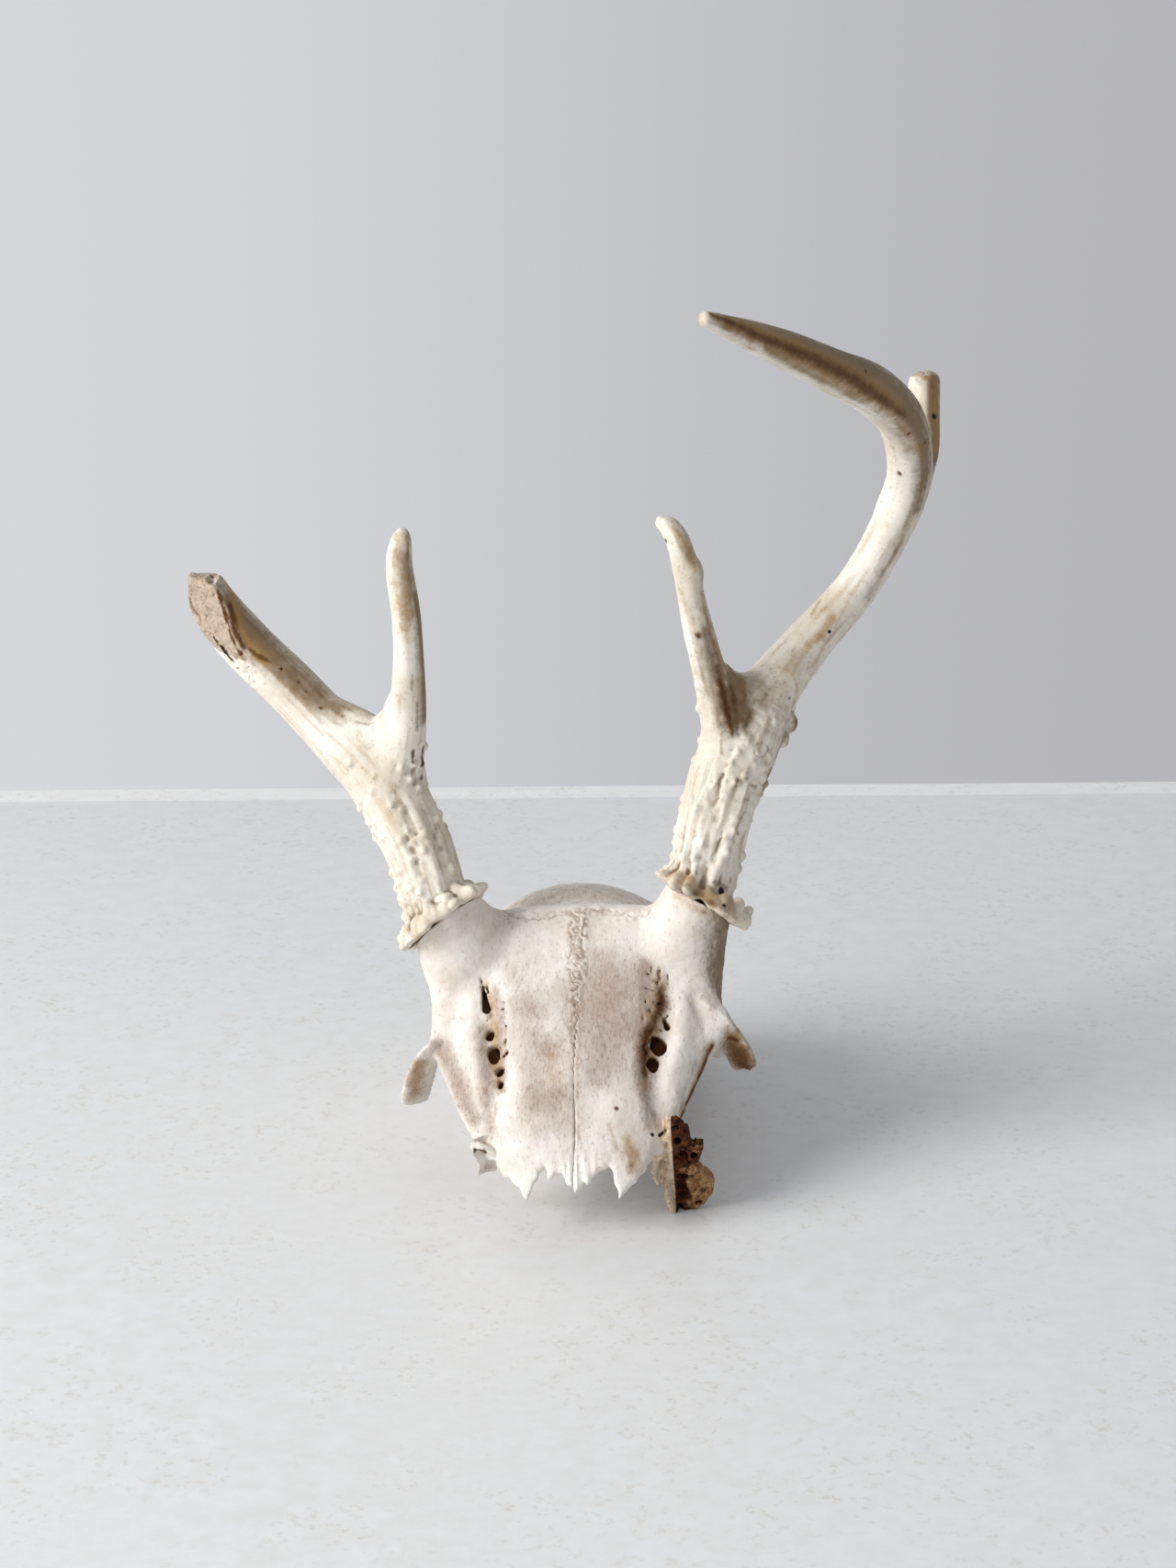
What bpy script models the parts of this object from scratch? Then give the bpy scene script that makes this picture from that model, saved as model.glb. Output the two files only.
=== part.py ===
"""Deer skull with antlers, life size, resting as it was found.

The face has broken away in front of the eye sockets. What is left is the brain case, the forehead with its
two pedicles, the stumps of the bars behind the eyes, and on the left a scrap of the cheek, which the skull
leans on. The right antler has lost the end of its beam.

The skull is modelled in its own frame, in millimetres: X to the animal's left, Y towards the nape, Z up,
with the origin level with the centres of the eye sockets. It is then tipped nose down onto the floor. The
antlers are modelled where they stand above the floor. Blender's unit is the metre.
"""

import math

import bmesh
import bpy
from mathutils import Matrix, Vector

MM = 0.001

# How the skull lies on the floor
NOSE_DOWN = 18.0
LEAN = 2.8
TURN = 4.0
ORIGIN_ON_FLOOR = (1.0, 21.0, 21.8)

# Forehead: a bowed plate whose half width, and fall from the midline to the rim, change along it
PLATE_THICK = 5.0
PLATE_FRONT, PLATE_BACK = -30.5, 52.0
PLATE_STATIONS = (-40, -28, -17, -8, 4, 16, 25, 35, 52)
PLATE_HALF_WIDTH = (21, 24, 28, 32.5, 38, 41.5, 43, 44, 40)
PLATE_FALL = (4, 6, 10, 13, 16, 17, 16, 12, 11)
PLATE_STEPS = 60
MIDLINE_HEIGHT = 28.0
MIDLINE_SLOPE = 0.55
MIDLINE_BENDS = ((18.0, 0.0045), (42.0, 0.075))
GROOVE_AT, GROOVE_DEEP, GROOVE_WIDE = 26.0, 3.0, 3.5
GROOVE_MIDDLE, GROOVE_LONG = 6.0, 24.0
BROKEN_TEETH = ((-15.0, 10.0, 5.0), (0.5, 8.5, 6.5), (14.3, 10.0, 4.5))

# Eye bars: how far back each stump stands, and how thick both are
STRAP_AT, LEAF_AT, BAR_THICK = 15.0, 14.0, 3.4

# The lump at the foot of the cheek scrap
HEEL_AT, HEEL_THICK = -20.0, 3.6

# Planes of the skull's sutures: a place on each and the way it faces
CROWN_SUTURE = ((0, 45, 0), (0, 1, -0.12))
MIDLINE_SUTURE = ((0, 0, 0), (1, 0, 0))
NAPE_SUTURE = ((0, 81, 0), (0, 1, -0.1))
SIDE_SUTURE = ((0, 60, 17), (0, 0.1, 1))
TEMPLE_SUTURES = (((15, 60, 0), (1, 0, 0)), ((-15, 60, 0), (-1, 0, 0)))

# Blocks that hold the scrap of cheek on the left and the flake on the right
CHEEK_BLOCK = (26, 30, 36)
SCRAP_BLOCK_AT, FLAKE_BLOCK_AT = (38, -24, -14), (-36, -24, -15)

# The holes over the eyes, right through the forehead
BROW_HOLE_AT, BROW_HOLE = (25, 1, 24), (2.2, 3.2, 14)

# Each pedicle runs on past its burr, which is sawn off level
PEDICLE_OVERLAP = 6.0

# The burrs: how many stations their ring has, how it wanders in and out, and how its thickness changes
BURR_STATIONS = 14
BURR_SWAY, BURR_SWELL, BURR_LIFT = 0.8, 0.5, 1.4

# Bone that the saw takes between two neighbouring pieces
SAW_GAP = 0.3

# Fineness of the solids
VOXEL = 1.5
CORE_SMOOTHING, SKULL_SMOOTHING, ANTLER_SMOOTHING = 3, 2, 2
EGG_SEGMENTS, EGG_RINGS = 32, 20
BAR_STEPS, BAR_FACETS = 5, 4
SMALLEST_FACE, CRUMB = 0.02, 2.0
SHARP_ANGLE = 40.0
SKULL_TRIANGLES = 3900
ANTLER_TRIANGLES = 1450

# Plain colours and how rough each surface is
BONE, BONE_ROUGHNESS = (0.80, 0.76, 0.70), 0.6
BROWN_BONE, BROWN_ROUGHNESS = (0.36, 0.22, 0.12), 0.75
ANTLER_BONE, ANTLER_ROUGHNESS = (0.78, 0.73, 0.65), 0.55

# Larger than the whole model, for blocks that cut all of one side away
REACH = 600.0


# ---------------------------------------------------------------- helpers


def clear_scene():
    for obj in list(bpy.data.objects):
        bpy.data.objects.remove(obj, do_unlink=True)


def collection(name, helper=False):
    made = bpy.data.collections.new(name)
    bpy.context.scene.collection.children.link(made)
    made.hide_render = helper
    return made


def place(obj, group):
    group.objects.link(obj)
    if group.hide_render:
        obj.hide_render = True
        obj.display_type = "WIRE"
    return obj


def object_from(bm, name, group):
    mesh = bpy.data.meshes.new(name)
    bm.to_mesh(mesh)
    bm.free()
    return place(bpy.data.objects.new(name, mesh), group)


def turned(at, pitch=0.0, yaw=0.0, bank=0.0):
    """A place in millimetres with its turns in degrees: about Y, then X, then Z."""
    turn = (
        Matrix.Rotation(math.radians(yaw), 4, "Z")
        @ Matrix.Rotation(math.radians(pitch), 4, "X")
        @ Matrix.Rotation(math.radians(bank), 4, "Y")
    )
    return Matrix.Translation(Vector(at) * MM) @ turn


def resting():
    """From the skull's own frame to where it lies."""
    turn = (
        Matrix.Rotation(math.radians(-TURN), 4, "Z")
        @ Matrix.Rotation(math.radians(-LEAN), 4, "Y")
        @ Matrix.Rotation(math.radians(NOSE_DOWN), 4, "X")
    )
    return Matrix.Translation(Vector(ORIGIN_ON_FLOOR) * MM) @ turn


def in_skull(point):
    """A point above the floor, in the skull's own frame, both in millimetres."""
    return resting().inverted() @ (Vector(point) * MM) / MM


def between(value, stations, values):
    """Straight-line reading of a value along stations."""
    for a, b, low, high in zip(stations, stations[1:], values, values[1:]):
        if value <= b:
            share = max(0.0, (value - a) / (b - a))
            return low + (high - low) * share
    return values[-1]


def egg(name, group, at, radii, **turns):
    """An ellipsoid with these half axes."""
    bm = bmesh.new()
    bmesh.ops.create_uvsphere(bm, u_segments=EGG_SEGMENTS, v_segments=EGG_RINGS, radius=MM)
    bmesh.ops.scale(bm, vec=radii, verts=bm.verts)
    bmesh.ops.transform(bm, matrix=turned(at, **turns), verts=bm.verts)
    return object_from(bm, name, group)


def block(name, group, at, sides):
    """A box with these sides, centred at its place."""
    bm = bmesh.new()
    bmesh.ops.create_cube(bm, size=MM)
    bmesh.ops.scale(bm, vec=sides, verts=bm.verts)
    bmesh.ops.translate(bm, vec=Vector(at) * MM, verts=bm.verts)
    return object_from(bm, name, group)


def sheet(name, group, outline, at_y, thick):
    """A flat sheet across Y with this outline of (x, z)."""
    bm = bmesh.new()
    front = [bm.verts.new(Vector((x, at_y - thick / 2, z)) * MM) for x, z in outline]
    face = bm.faces.new(front)
    grown = bmesh.ops.extrude_face_region(bm, geom=[face])["geom"]
    back = [item for item in grown if isinstance(item, bmesh.types.BMVert)]
    bmesh.ops.translate(bm, vec=(0, thick * MM, 0), verts=back)
    bmesh.ops.recalc_face_normals(bm, faces=bm.faces)
    return object_from(bm, name, group)


def limb(name, group, stations, closed=False):
    """A round bar through stations (x, y, z, radius)."""
    curve = bpy.data.curves.new(name, "CURVE")
    curve.dimensions = "3D"
    curve.bevel_depth = MM
    curve.bevel_resolution = BAR_FACETS
    curve.resolution_u = BAR_STEPS
    curve.use_fill_caps = True
    spline = curve.splines.new("BEZIER")
    spline.radius_interpolation = "CARDINAL"
    spline.use_cyclic_u = closed
    spline.bezier_points.add(len(stations) - 1)
    for point, (x, y, z, radius) in zip(spline.bezier_points, stations):
        point.co = Vector((x, y, z)) * MM
        point.radius = radius
        point.handle_left_type = point.handle_right_type = "AUTO"
    return place(bpy.data.objects.new(name, curve), group)


def mirrored(stations):
    return [(-x, y, z, radius) for x, y, z, radius in stations]


def both_sides(name, group, at, radii, **turns):
    """An egg on the left and its mirror image on the right."""
    x, y, z = at
    other = {turn: angle if turn == "pitch" else -angle for turn, angle in turns.items()}
    left = egg(name + "_left", group, at, radii, **turns)
    right = egg(name + "_right", group, (-x, y, z), radii, **other)
    return [left, right]


def both_limbs(name, group, stations):
    return [limb(name + "_left", group, stations), limb(name + "_right", group, mirrored(stations))]


# ---------------------------------------------------------------- work on bodies


def settled_mesh(obj):
    """The mesh that an object's modifiers or curve settings give."""
    bpy.context.view_layer.update()
    evaluated = obj.evaluated_get(bpy.context.evaluated_depsgraph_get())
    return bpy.data.meshes.new_from_object(evaluated)


def settle(obj):
    """Makes the object's modifiers part of its mesh."""
    mesh = settled_mesh(obj)
    obj.modifiers.clear()
    obj.data = mesh
    return obj


def fused(name, pieces, group, smoothing):
    """The pieces grown into one closed body, with the creases between them softened."""
    bm = bmesh.new()
    for piece in pieces:
        bm.from_mesh(settled_mesh(piece))
    body = object_from(bm, name, group)
    remesh = body.modifiers.new("fuse", "REMESH")
    remesh.mode = "VOXEL"
    remesh.voxel_size = VOXEL * MM
    smooth = body.modifiers.new("soften", "SMOOTH")
    smooth.factor = 0.5
    smooth.iterations = smoothing
    return settle(body)


def slim(obj, triangles):
    """Thins the mesh to about this many triangles."""
    decimate = obj.modifiers.new("slim", "DECIMATE")
    decimate.ratio = triangles / sum(len(face.vertices) - 2 for face in obj.data.polygons)
    return settle(obj)


def combine(obj, tool, operation):
    boolean = obj.modifiers.new(operation.lower(), "BOOLEAN")
    boolean.operation = operation
    boolean.object = tool
    return settle(obj)


def shells(obj, group):
    """The separate closed bodies of a mesh as objects, the largest first; crumbs are dropped."""
    bm = bmesh.new()
    bm.from_mesh(obj.data)
    left = set(bm.verts)
    found = []
    while left:
        start = left.pop()
        shell, edge = {start.index}, [start]
        while edge:
            vert = edge.pop()
            for link in vert.link_edges:
                other = link.other_vert(vert)
                if other in left:
                    left.remove(other)
                    shell.add(other.index)
                    edge.append(other)
        found.append(shell)
    bm.free()
    found.sort(key=len, reverse=True)
    bodies = []
    for shell in found:
        bm = bmesh.new()
        bm.from_mesh(obj.data)
        doomed = [vert for vert in bm.verts if vert.index not in shell]
        bmesh.ops.delete(bm, geom=doomed, context="VERTS")
        if bm.calc_volume(signed=True) < (CRUMB * MM) ** 3:
            bm.free()
            continue
        bodies.append(object_from(bm, obj.name + "_piece", group))
    return bodies


def half_space(name, group, at, away):
    """A block that fills all space on the far side of a plane, less half the saw's gap."""
    turn = Vector(away).to_track_quat("Z", "Y").to_matrix().to_4x4()
    bm = bmesh.new()
    bmesh.ops.create_cube(bm, size=REACH * MM)
    bmesh.ops.translate(bm, vec=(0, 0, (REACH - SAW_GAP) / 2 * MM), verts=bm.verts)
    bmesh.ops.transform(bm, matrix=Matrix.Translation(Vector(at) * MM) @ turn, verts=bm.verts)
    return object_from(bm, name, group)


def sawn(obj, at, away, names, group, cutters):
    """Parts a body at a plane into the side before it and the side beyond it."""
    sides = []
    for name, sign in zip(names, (1, -1)):
        tool = half_space(name + "_saw", cutters, at, Vector(away) * sign)
        side = place(bpy.data.objects.new(name, obj.data.copy()), group)
        side = combine(side, tool, "DIFFERENCE")
        sides.append(side)
    bpy.data.objects.remove(obj)
    return sides


def only_largest(obj, group):
    """Keeps the main body and drops what hangs loose beside it."""
    pieces = shells(obj, group)
    obj.data = pieces[0].data
    for piece in pieces:
        bpy.data.objects.remove(piece)
    return obj


def lifted_out(obj, name, at, group, cutters):
    """Parts off what lies inside a cheek block, and leaves the gap around it."""
    inner = [side - 2 * SAW_GAP for side in CHEEK_BLOCK]
    taken = place(bpy.data.objects.new(name, obj.data.copy()), group)
    combine(taken, block(name + "_inner", cutters, at, inner), "INTERSECT")
    combine(obj, block(name + "_outer", cutters, at, CHEEK_BLOCK), "DIFFERENCE")
    return only_largest(obj, group), only_largest(taken, group)


# ---------------------------------------------------------------- skull


def midline(y):
    """Height of the forehead's middle, rising to the crown and over it."""
    bends = sum(bend * max(0.0, y - start) ** 2 for start, bend in MIDLINE_BENDS)
    return MIDLINE_HEIGHT + MIDLINE_SLOPE * y - bends


def tooth(x):
    """How far the broken front edge runs out beyond its plain line."""
    return max([0.0] + [long * (1 - abs(x - at) / wide) for at, long, wide in BROKEN_TEETH])


def forehead_plate(group):
    """The two frontal bones as one bowed plate with a groove along each side."""
    bm = bmesh.new()
    bmesh.ops.create_grid(bm, x_segments=PLATE_STEPS, y_segments=PLATE_STEPS, size=1.0)
    for vert in bm.verts:
        side, share = vert.co.x, (vert.co.y + 1) / 2
        front = PLATE_FRONT - tooth(side * PLATE_HALF_WIDTH[0])
        y = front + (PLATE_BACK - front) * share
        x = side * between(y, PLATE_STATIONS, PLATE_HALF_WIDTH)
        fall = between(y, PLATE_STATIONS, PLATE_FALL) * (0.15 * side**2 + 0.85 * side**4)
        groove = GROOVE_DEEP * math.exp(-(((abs(x) - GROOVE_AT) / GROOVE_WIDE) ** 2))
        fade = math.exp(-(((y - GROOVE_MIDDLE) / GROOVE_LONG) ** 4))
        vert.co = Vector((x, y, midline(y) - fall - groove * fade)) * MM
    plate = object_from(bm, "forehead", group)
    solidify = plate.modifiers.new("thickness", "SOLIDIFY")
    solidify.thickness = PLATE_THICK * MM
    solidify.offset = -1
    return plate


def brain_case(group):
    return [
        egg("brain_case", group, (-3.2, 57, 8), (38.2, 40, 32), pitch=-22),
        egg("brain_case_floor", group, (0, 62, -6), (30, 36, 24)),
        egg("crown", group, (0, 44, 31), (30, 15, 13), pitch=-10),
        egg("nose_wall", group, (0, 8, 10), (20, 30, 21), pitch=28),
        egg("keel", group, (0, 30, -8), (11, 30, 19), pitch=8),
    ]


def forehead_supports(group):
    """The rims of the eye sockets, the roots of the pedicles and the shoulders between them."""
    bars = {
        "rim_left": [(24.6, -18.5, 6.8, 2.1), (29.2, -8, 11.2, 2.5), (34.0, 4, 15.4, 2.7),
                     (38.6, 15, 18.2, 3)],
        "root_left": [(28.6, 38, 22, 11.6), (30.8, 38, 36, 11.6), (34.8, 40, 46, 11.3)],
        "shoulder_left": [(41.6, 16, 21.5, 3.6), (38.6, 26, 29, 4.5), (35.2, 35, 38, 8.1)],
        "rim_right": [(-26.6, -18.5, 6.8, 2.1), (-32.5, -8, 10.8, 2.5), (-37.8, 4, 14.6, 2.8),
                      (-41.8, 15, 17.6, 3.2)],
        "root_right": [(-30, 38, 22, 13), (-34, 38, 36, 13.2), (-37.5, 39, 45, 12.3)],
        "shoulder_right": [(-42, 16, 21.5, 3.7), (-41, 26, 29, 5), (-39, 35, 38, 9)],
    }
    return [limb(name, group, stations) for name, stations in bars.items()]


def pedicles(group):
    """From each frontal bone up into the burr of its antler."""
    pieces = []
    for name, shape in ANTLERS.items():
        start, foot = Vector(shape["pedicle_from"]), in_skull(shape["pedicle_to"])
        end = foot + (foot - start).normalized() * PEDICLE_OVERLAP
        spots = (start, (start + foot) / 2, foot, end)
        stations = [(*spot, radius) for spot, radius in zip(spots, shape["pedicle_radii"])]
        pieces.append(limb("pedicle_" + name, group, stations))
    return pieces


def eye_bars(group):
    """Stumps of the bars behind the eyes, the left one broken nearer its root."""
    strap = [(39, 17), (43, 17.4), (44.2, 15.4), (46, 9.6), (47.8, 5.2), (53.2, 5.2), (54.4, 8.5),
             (54.7, 14), (53.4, 20.2), (50, 25.7), (45, 28), (39, 26)]
    leaf = [(-40, 26), (-46.2, 23.2), (-50.7, 15.8), (-56.2, 4.5), (-57.6, -3.2), (-56.1, -5.5),
            (-52.7, -4.4), (-47.9, 0.5), (-45.2, 10), (-44.7, 15.6), (-40, 19)]
    return [sheet("strap_left", group, strap, STRAP_AT, BAR_THICK),
            sheet("leaf_right", group, leaf, LEAF_AT, BAR_THICK)]


def skull_base(group):
    process = [(30, 80, -8, 7), (29, 86, -28, 6), (28.5, 88, -43, 4.6), (28.5, 88, -57, 3.4)]
    cheek_root = [(32, 56, -8, 6), (39, 48, -8, 5), (43, 40, -9, 3.6)]
    ear = [(24, 68, -20, 5), (36, 70, -12, 4.6)]
    side_crest = [(10, 92, 12, 4.4), (26, 86, 6, 4), (34, 76, -6, 4)]
    crest = mirrored(side_crest)[::-1] + side_crest
    wing = [(11, 20, -12, 3.2), (12, 28, -22, 3.0), (12.5, 33, -38, 3.0)]
    floor_bar = [(0, 34, -20, 7), (0, 60, -26, 9), (0, 84, -31, 10)]
    pieces = both_limbs("jugular_process", group, process)
    pieces += both_limbs("cheek_root", group, cheek_root)
    pieces += both_limbs("ear", group, ear)
    pieces += both_limbs("wing", group, wing)
    pieces += both_sides("bulla", group, (21, 61, -29), (8, 12, 11), yaw=-12)
    pieces += both_sides("condyle", group, (12.5, 97, -28), (8.5, 8, 12), bank=-18)
    pieces += both_sides("mastoid", group, (30, 78, -4), (9, 10, 17), bank=8)
    pieces.append(limb("nape_crest", group, crest))
    pieces.append(limb("skull_floor", group, floor_bar))
    pieces.append(egg("nape", group, (0, 84, -10), (31, 11, 24), pitch=-8))
    return pieces


def cheek_scraps(group):
    """What is left of the face: a brown scrap that reaches the floor on the left, and a thin flake."""
    bars = {
        "wall": [(27.8, -16, 12, 2.4), (28, -18, 4, 2.5), (28, -19.5, -5, 2.6), (28.4, -20.5, -12, 2.6),
                 (30, -21, -19, 2.8)],
        "back": [(31.5, -15, 13, 3.0), (32.6, -16.5, 4, 3.6), (32.8, -18, -5, 4.0), (32.8, -19, -12, 4.0),
                 (32, -20, -20, 3)],
        "spur": [(34, -18, 4.4, 2.4), (37.4, -18.5, 4.2, 1.4)],
        "flake": [(-27.5, -18, 8, 2.6), (-27, -19.5, 2, 3.0), (-26.5, -20.5, -2.2, 2.6)],
    }
    heel = [(33, -1.5), (38.4, -3.8), (41.2, -8.6), (40.4, -13.4), (38.2, -17.2), (35, -17), (32, -17)]
    pieces = [limb(name, group, stations) for name, stations in bars.items()]
    pieces.append(sheet("heel", group, heel, HEEL_AT, HEEL_THICK))
    return pieces


def skull_hollows(group):
    """Cutters: the eye sockets, the nose, the ear holes and the hole for the spinal cord."""
    tools = both_sides("socket", group, (42, -3, -4), (21, 19, 19.5), yaw=-8)
    tools += both_sides("temple", group, (46, 26, 0), (20, 20, 24), yaw=-6)
    tools += both_sides("ear_hole", group, (41, 71, -10), (9, 2.2, 2.2), bank=-25)
    tools.append(egg("nose", group, (0, -30, -2), (14.5, 34, 17), pitch=24))
    tools.append(egg("spine_hole", group, (0, 100, -25), (10.5, 24, 8.5), pitch=-8))
    return tools


def skull(group, cutters, guides):
    """All the bone in one body, then parted along the lines where its bones meet."""
    core = fused("core", brain_case(guides) + skull_base(guides), guides, CORE_SMOOTHING)
    for hollow in skull_hollows(cutters):
        combine(core, hollow, "DIFFERENCE")
    pieces = [core, forehead_plate(guides)] + forehead_supports(guides) + pedicles(guides)
    pieces += eye_bars(guides) + cheek_scraps(guides)
    body = fused("skull", pieces, group, SKULL_SMOOTHING)
    for hole in both_sides("brow_hole", cutters, BROW_HOLE_AT, BROW_HOLE):
        combine(body, hole, "DIFFERENCE")
    body = only_largest(body, group)
    slim(body, SKULL_TRIANGLES)
    for name, shape in ANTLERS.items():
        away = resting().to_3x3().inverted() @ Vector(shape["axis"])
        combine(body, half_space(name + "_burr_saw", cutters, in_skull(shape["burr"]), away), "DIFFERENCE")
    body, scrap = lifted_out(body, "lacrimal_left", SCRAP_BLOCK_AT, group, cutters)
    body, flake = lifted_out(body, "lacrimal_right", FLAKE_BLOCK_AT, group, cutters)
    front, rear = sawn(body, *CROWN_SUTURE, ("front", "rear"), group, cutters)
    bones = sawn(front, *MIDLINE_SUTURE, ("frontal_right", "frontal_left"), group, cutters)
    rear, nape = sawn(rear, *NAPE_SUTURE, ("rear", "occipital"), group, cutters)
    lower, crown = sawn(rear, *SIDE_SUTURE, ("lower", "parietal"), group, cutters)
    left, right = TEMPLE_SUTURES
    lower, side = sawn(lower, *left, ("lower", "temporal_left"), group, cutters)
    middle, other = sawn(lower, *right, ("sphenoid", "temporal_right"), group, cutters)
    bones += [nape, crown, side, middle, other]
    for bone in bones:
        only_largest(bone, group)
    bones += [scrap, flake]
    for bone in bones:
        bone.data.transform(resting())
    return bones


# ---------------------------------------------------------------- antlers

# Places above the floor in millimetres: each branch is a run of (x, y, z, radius)
ANTLERS = {
    "left": {
        "burr": (37.6, 44, 85.2),
        "axis": (0.50, 0.30, 0.81),
        "burr_size": (12.9, 3.1),
        "pedicle_from": (31.9, 39, 38),
        "pedicle_to": (36.4, 44, 85),
        "pedicle_radii": (11.2, 10.8, 10.4, 10.6),
        "branches": [
            [(35.9, 42, 77, 10.2), (39.9, 47, 102, 10.2), (44.8, 52, 120, 11.1), (50.2, 57, 133, 11.9),
             (58, 63, 147, 9.6), (71, 69, 162, 7.6), (86, 75, 178, 6.7), (97, 76, 198, 6.7),
             (101, 70, 216, 7.0), (97, 58, 233.5, 7.3), (86, 40, 247, 7.1), (72, 15, 257.5, 5.9),
             (59, -8, 267, 5.1), (45, -32, 276, 3.8), (33, -51.8, 283.4, 2.9)],
            [(48, 55, 132, 8.8), (41, 50, 156, 5.7), (36.8, 47, 171, 4.8), (33.6, 46, 185, 4.1),
             (30.8, 46, 197, 3.9), (27.5, 48, 204, 3.4), (24.5, 49, 206, 2.4)],
            [(98.5, 76, 203, 5.4), (104.8, 77, 219, 5.4), (106.8, 86, 233, 5.3), (107.8, 94, 246, 5.0)],
        ],
        "web": [(43.5, 54, 158, 3.8), (46.8, 56, 153.2, 4.2), (51.5, 58, 151.6, 4.4), (57, 60.5, 153.4, 4.2),
                (62, 63, 157, 4.0)],
        "breaks": [((106.6, 92, 242.3), (0.1, 0.3, 0.95))],
        "forks": [
            {"at": (51, 57, 157.2), "away": (0.12, 0.05, 0.99), "stem": "base",
             "arms": {"brow_tine": (41, 50, 160), "beam": (70, 68, 162)}},
            {"at": (103, 73, 225), "away": (0, 0, 1), "stem": "beam",
             "arms": {"back_tine": (106, 86, 233), "beam_end": (90, 50, 242)}},
        ],
    },
    "right": {
        "burr": (-41.6, 44, 79),
        "axis": (-0.60, 0.33, 0.72),
        "burr_size": (12.3, 3.1),
        "pedicle_from": (-36, 39, 38),
        "pedicle_to": (-40.7, 44, 79),
        "pedicle_radii": (12.6, 11.3, 10.4, 10.6),
        "branches": [
            [(-41.5, 42.5, 73, 10.6), (-48.6, 48, 98.5, 10.4), (-55.6, 54, 112.7, 11.2),
             (-63.4, 60, 125, 11.9), (-77, 65, 135.4, 9.0), (-90.7, 70, 148.4, 8.5),
             (-103.7, 72, 161, 8.4), (-115, 70, 173.2, 8.0), (-127, 68, 188, 7.3)],
            [(-56.5, 56, 122, 8.3), (-52.5, 52, 143, 6.0), (-51.5, 48, 160.5, 5.0), (-51.8, 45, 177, 4.6),
             (-53.5, 44, 192, 4.2), (-53, 45, 200.5, 3.5), (-52.7, 45, 204, 2.2)],
        ],
        "web": [(-54.5, 54, 146, 3.8), (-58, 57, 140, 4.2), (-62.8, 58, 136.3, 4.4), (-68, 61, 138.5, 4.2),
                (-74, 63.5, 142.5, 3.8)],
        "breaks": [((-109.7, 61.5, 182.6), (-0.60, -0.75, -0.26)),
                   ((-118, 69, 183.5), (-0.05, 0.05, 0.99)), ((-120.9, 69, 175), (-0.99, 0, 0.08))],
        "forks": [
            {"at": (-62.8, 58, 141.8), "away": (-0.30, 0.06, 0.95), "stem": "base",
             "arms": {"brow_tine": (-52, 50, 150), "beam": (-88, 70, 151)}},
        ],
    },
}


def burr(name, group, shape):
    """The knobbed ring round the antler's foot."""
    radius, thick = shape["burr_size"]
    turn = Vector(shape["axis"]).to_track_quat("Z", "Y")
    stations = []
    for station in range(BURR_STATIONS):
        angle = 2 * math.pi * station / BURR_STATIONS
        reach = radius + BURR_SWAY * math.sin(5 * angle)
        spoke = Vector((math.cos(angle) * reach, math.sin(angle) * reach, BURR_LIFT))
        spot = Vector(shape["burr"]) + turn @ spoke
        stations.append((*spot, thick + BURR_SWELL * math.cos(3 * angle)))
    return limb(name, group, stations, closed=True)


def nearest(bodies, point):
    """The body with a vertex closest to a point."""
    target = Vector(point) * MM
    return min(bodies, key=lambda body: min((vert.co - target).length for vert in body.data.vertices))


def antler(name, shape, group, cutters, guides):
    """One antler in one body, then parted at its forks."""
    pieces = [limb(f"{name}_branch_{n}", guides, stations) for n, stations in enumerate(shape["branches"])]
    pieces.append(limb(name + "_web", guides, shape["web"]))
    pieces.append(burr(name + "_burr", guides, shape))
    body = fused("whole", pieces, group, ANTLER_SMOOTHING)
    foot = half_space(name + "_foot_saw", cutters, shape["burr"], -Vector(shape["axis"]))
    combine(body, foot, "DIFFERENCE")
    for number, (at, away) in enumerate(shape["breaks"]):
        combine(body, half_space(f"{name}_break_{number}", cutters, at, away), "DIFFERENCE")
    body = slim(only_largest(body, group), ANTLER_TRIANGLES)
    parts = {"base": body}
    for fork in shape["forks"]:
        stem = fork["stem"]
        below, above = sawn(parts.pop(stem), fork["at"], fork["away"], (stem, "above"), group, cutters)
        parts[stem] = only_largest(below, group)
        loose = shells(above, group)
        bpy.data.objects.remove(above)
        for label, point in fork["arms"].items():
            parts[label] = nearest(loose, point)
            loose.remove(parts[label])
        for crumb in loose:
            bpy.data.objects.remove(crumb)
    for label, part in parts.items():
        part.name = f"antler_{name}_{label}"
    return list(parts.values())


# ---------------------------------------------------------------- finish


def finish(obj, colour, roughness):
    """A material of its own, smooth shading, and clean faces."""
    bm = bmesh.new()
    bm.from_mesh(obj.data)
    bmesh.ops.dissolve_degenerate(bm, dist=SMALLEST_FACE * MM, edges=bm.edges)
    bmesh.ops.triangulate(bm, faces=bm.faces)
    bm.to_mesh(obj.data)
    bm.free()
    material = bpy.data.materials.new(obj.name)
    material.use_nodes = True
    shader = material.node_tree.nodes["Principled BSDF"]
    shader.inputs["Base Color"].default_value = (*colour, 1)
    shader.inputs["Roughness"].default_value = roughness
    shader.inputs["Metallic"].default_value = 0.0
    obj.data.materials.clear()
    obj.data.materials.append(material)
    obj.data.shade_smooth()
    obj.data.set_sharp_from_angle(angle=math.radians(SHARP_ANGLE))


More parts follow.
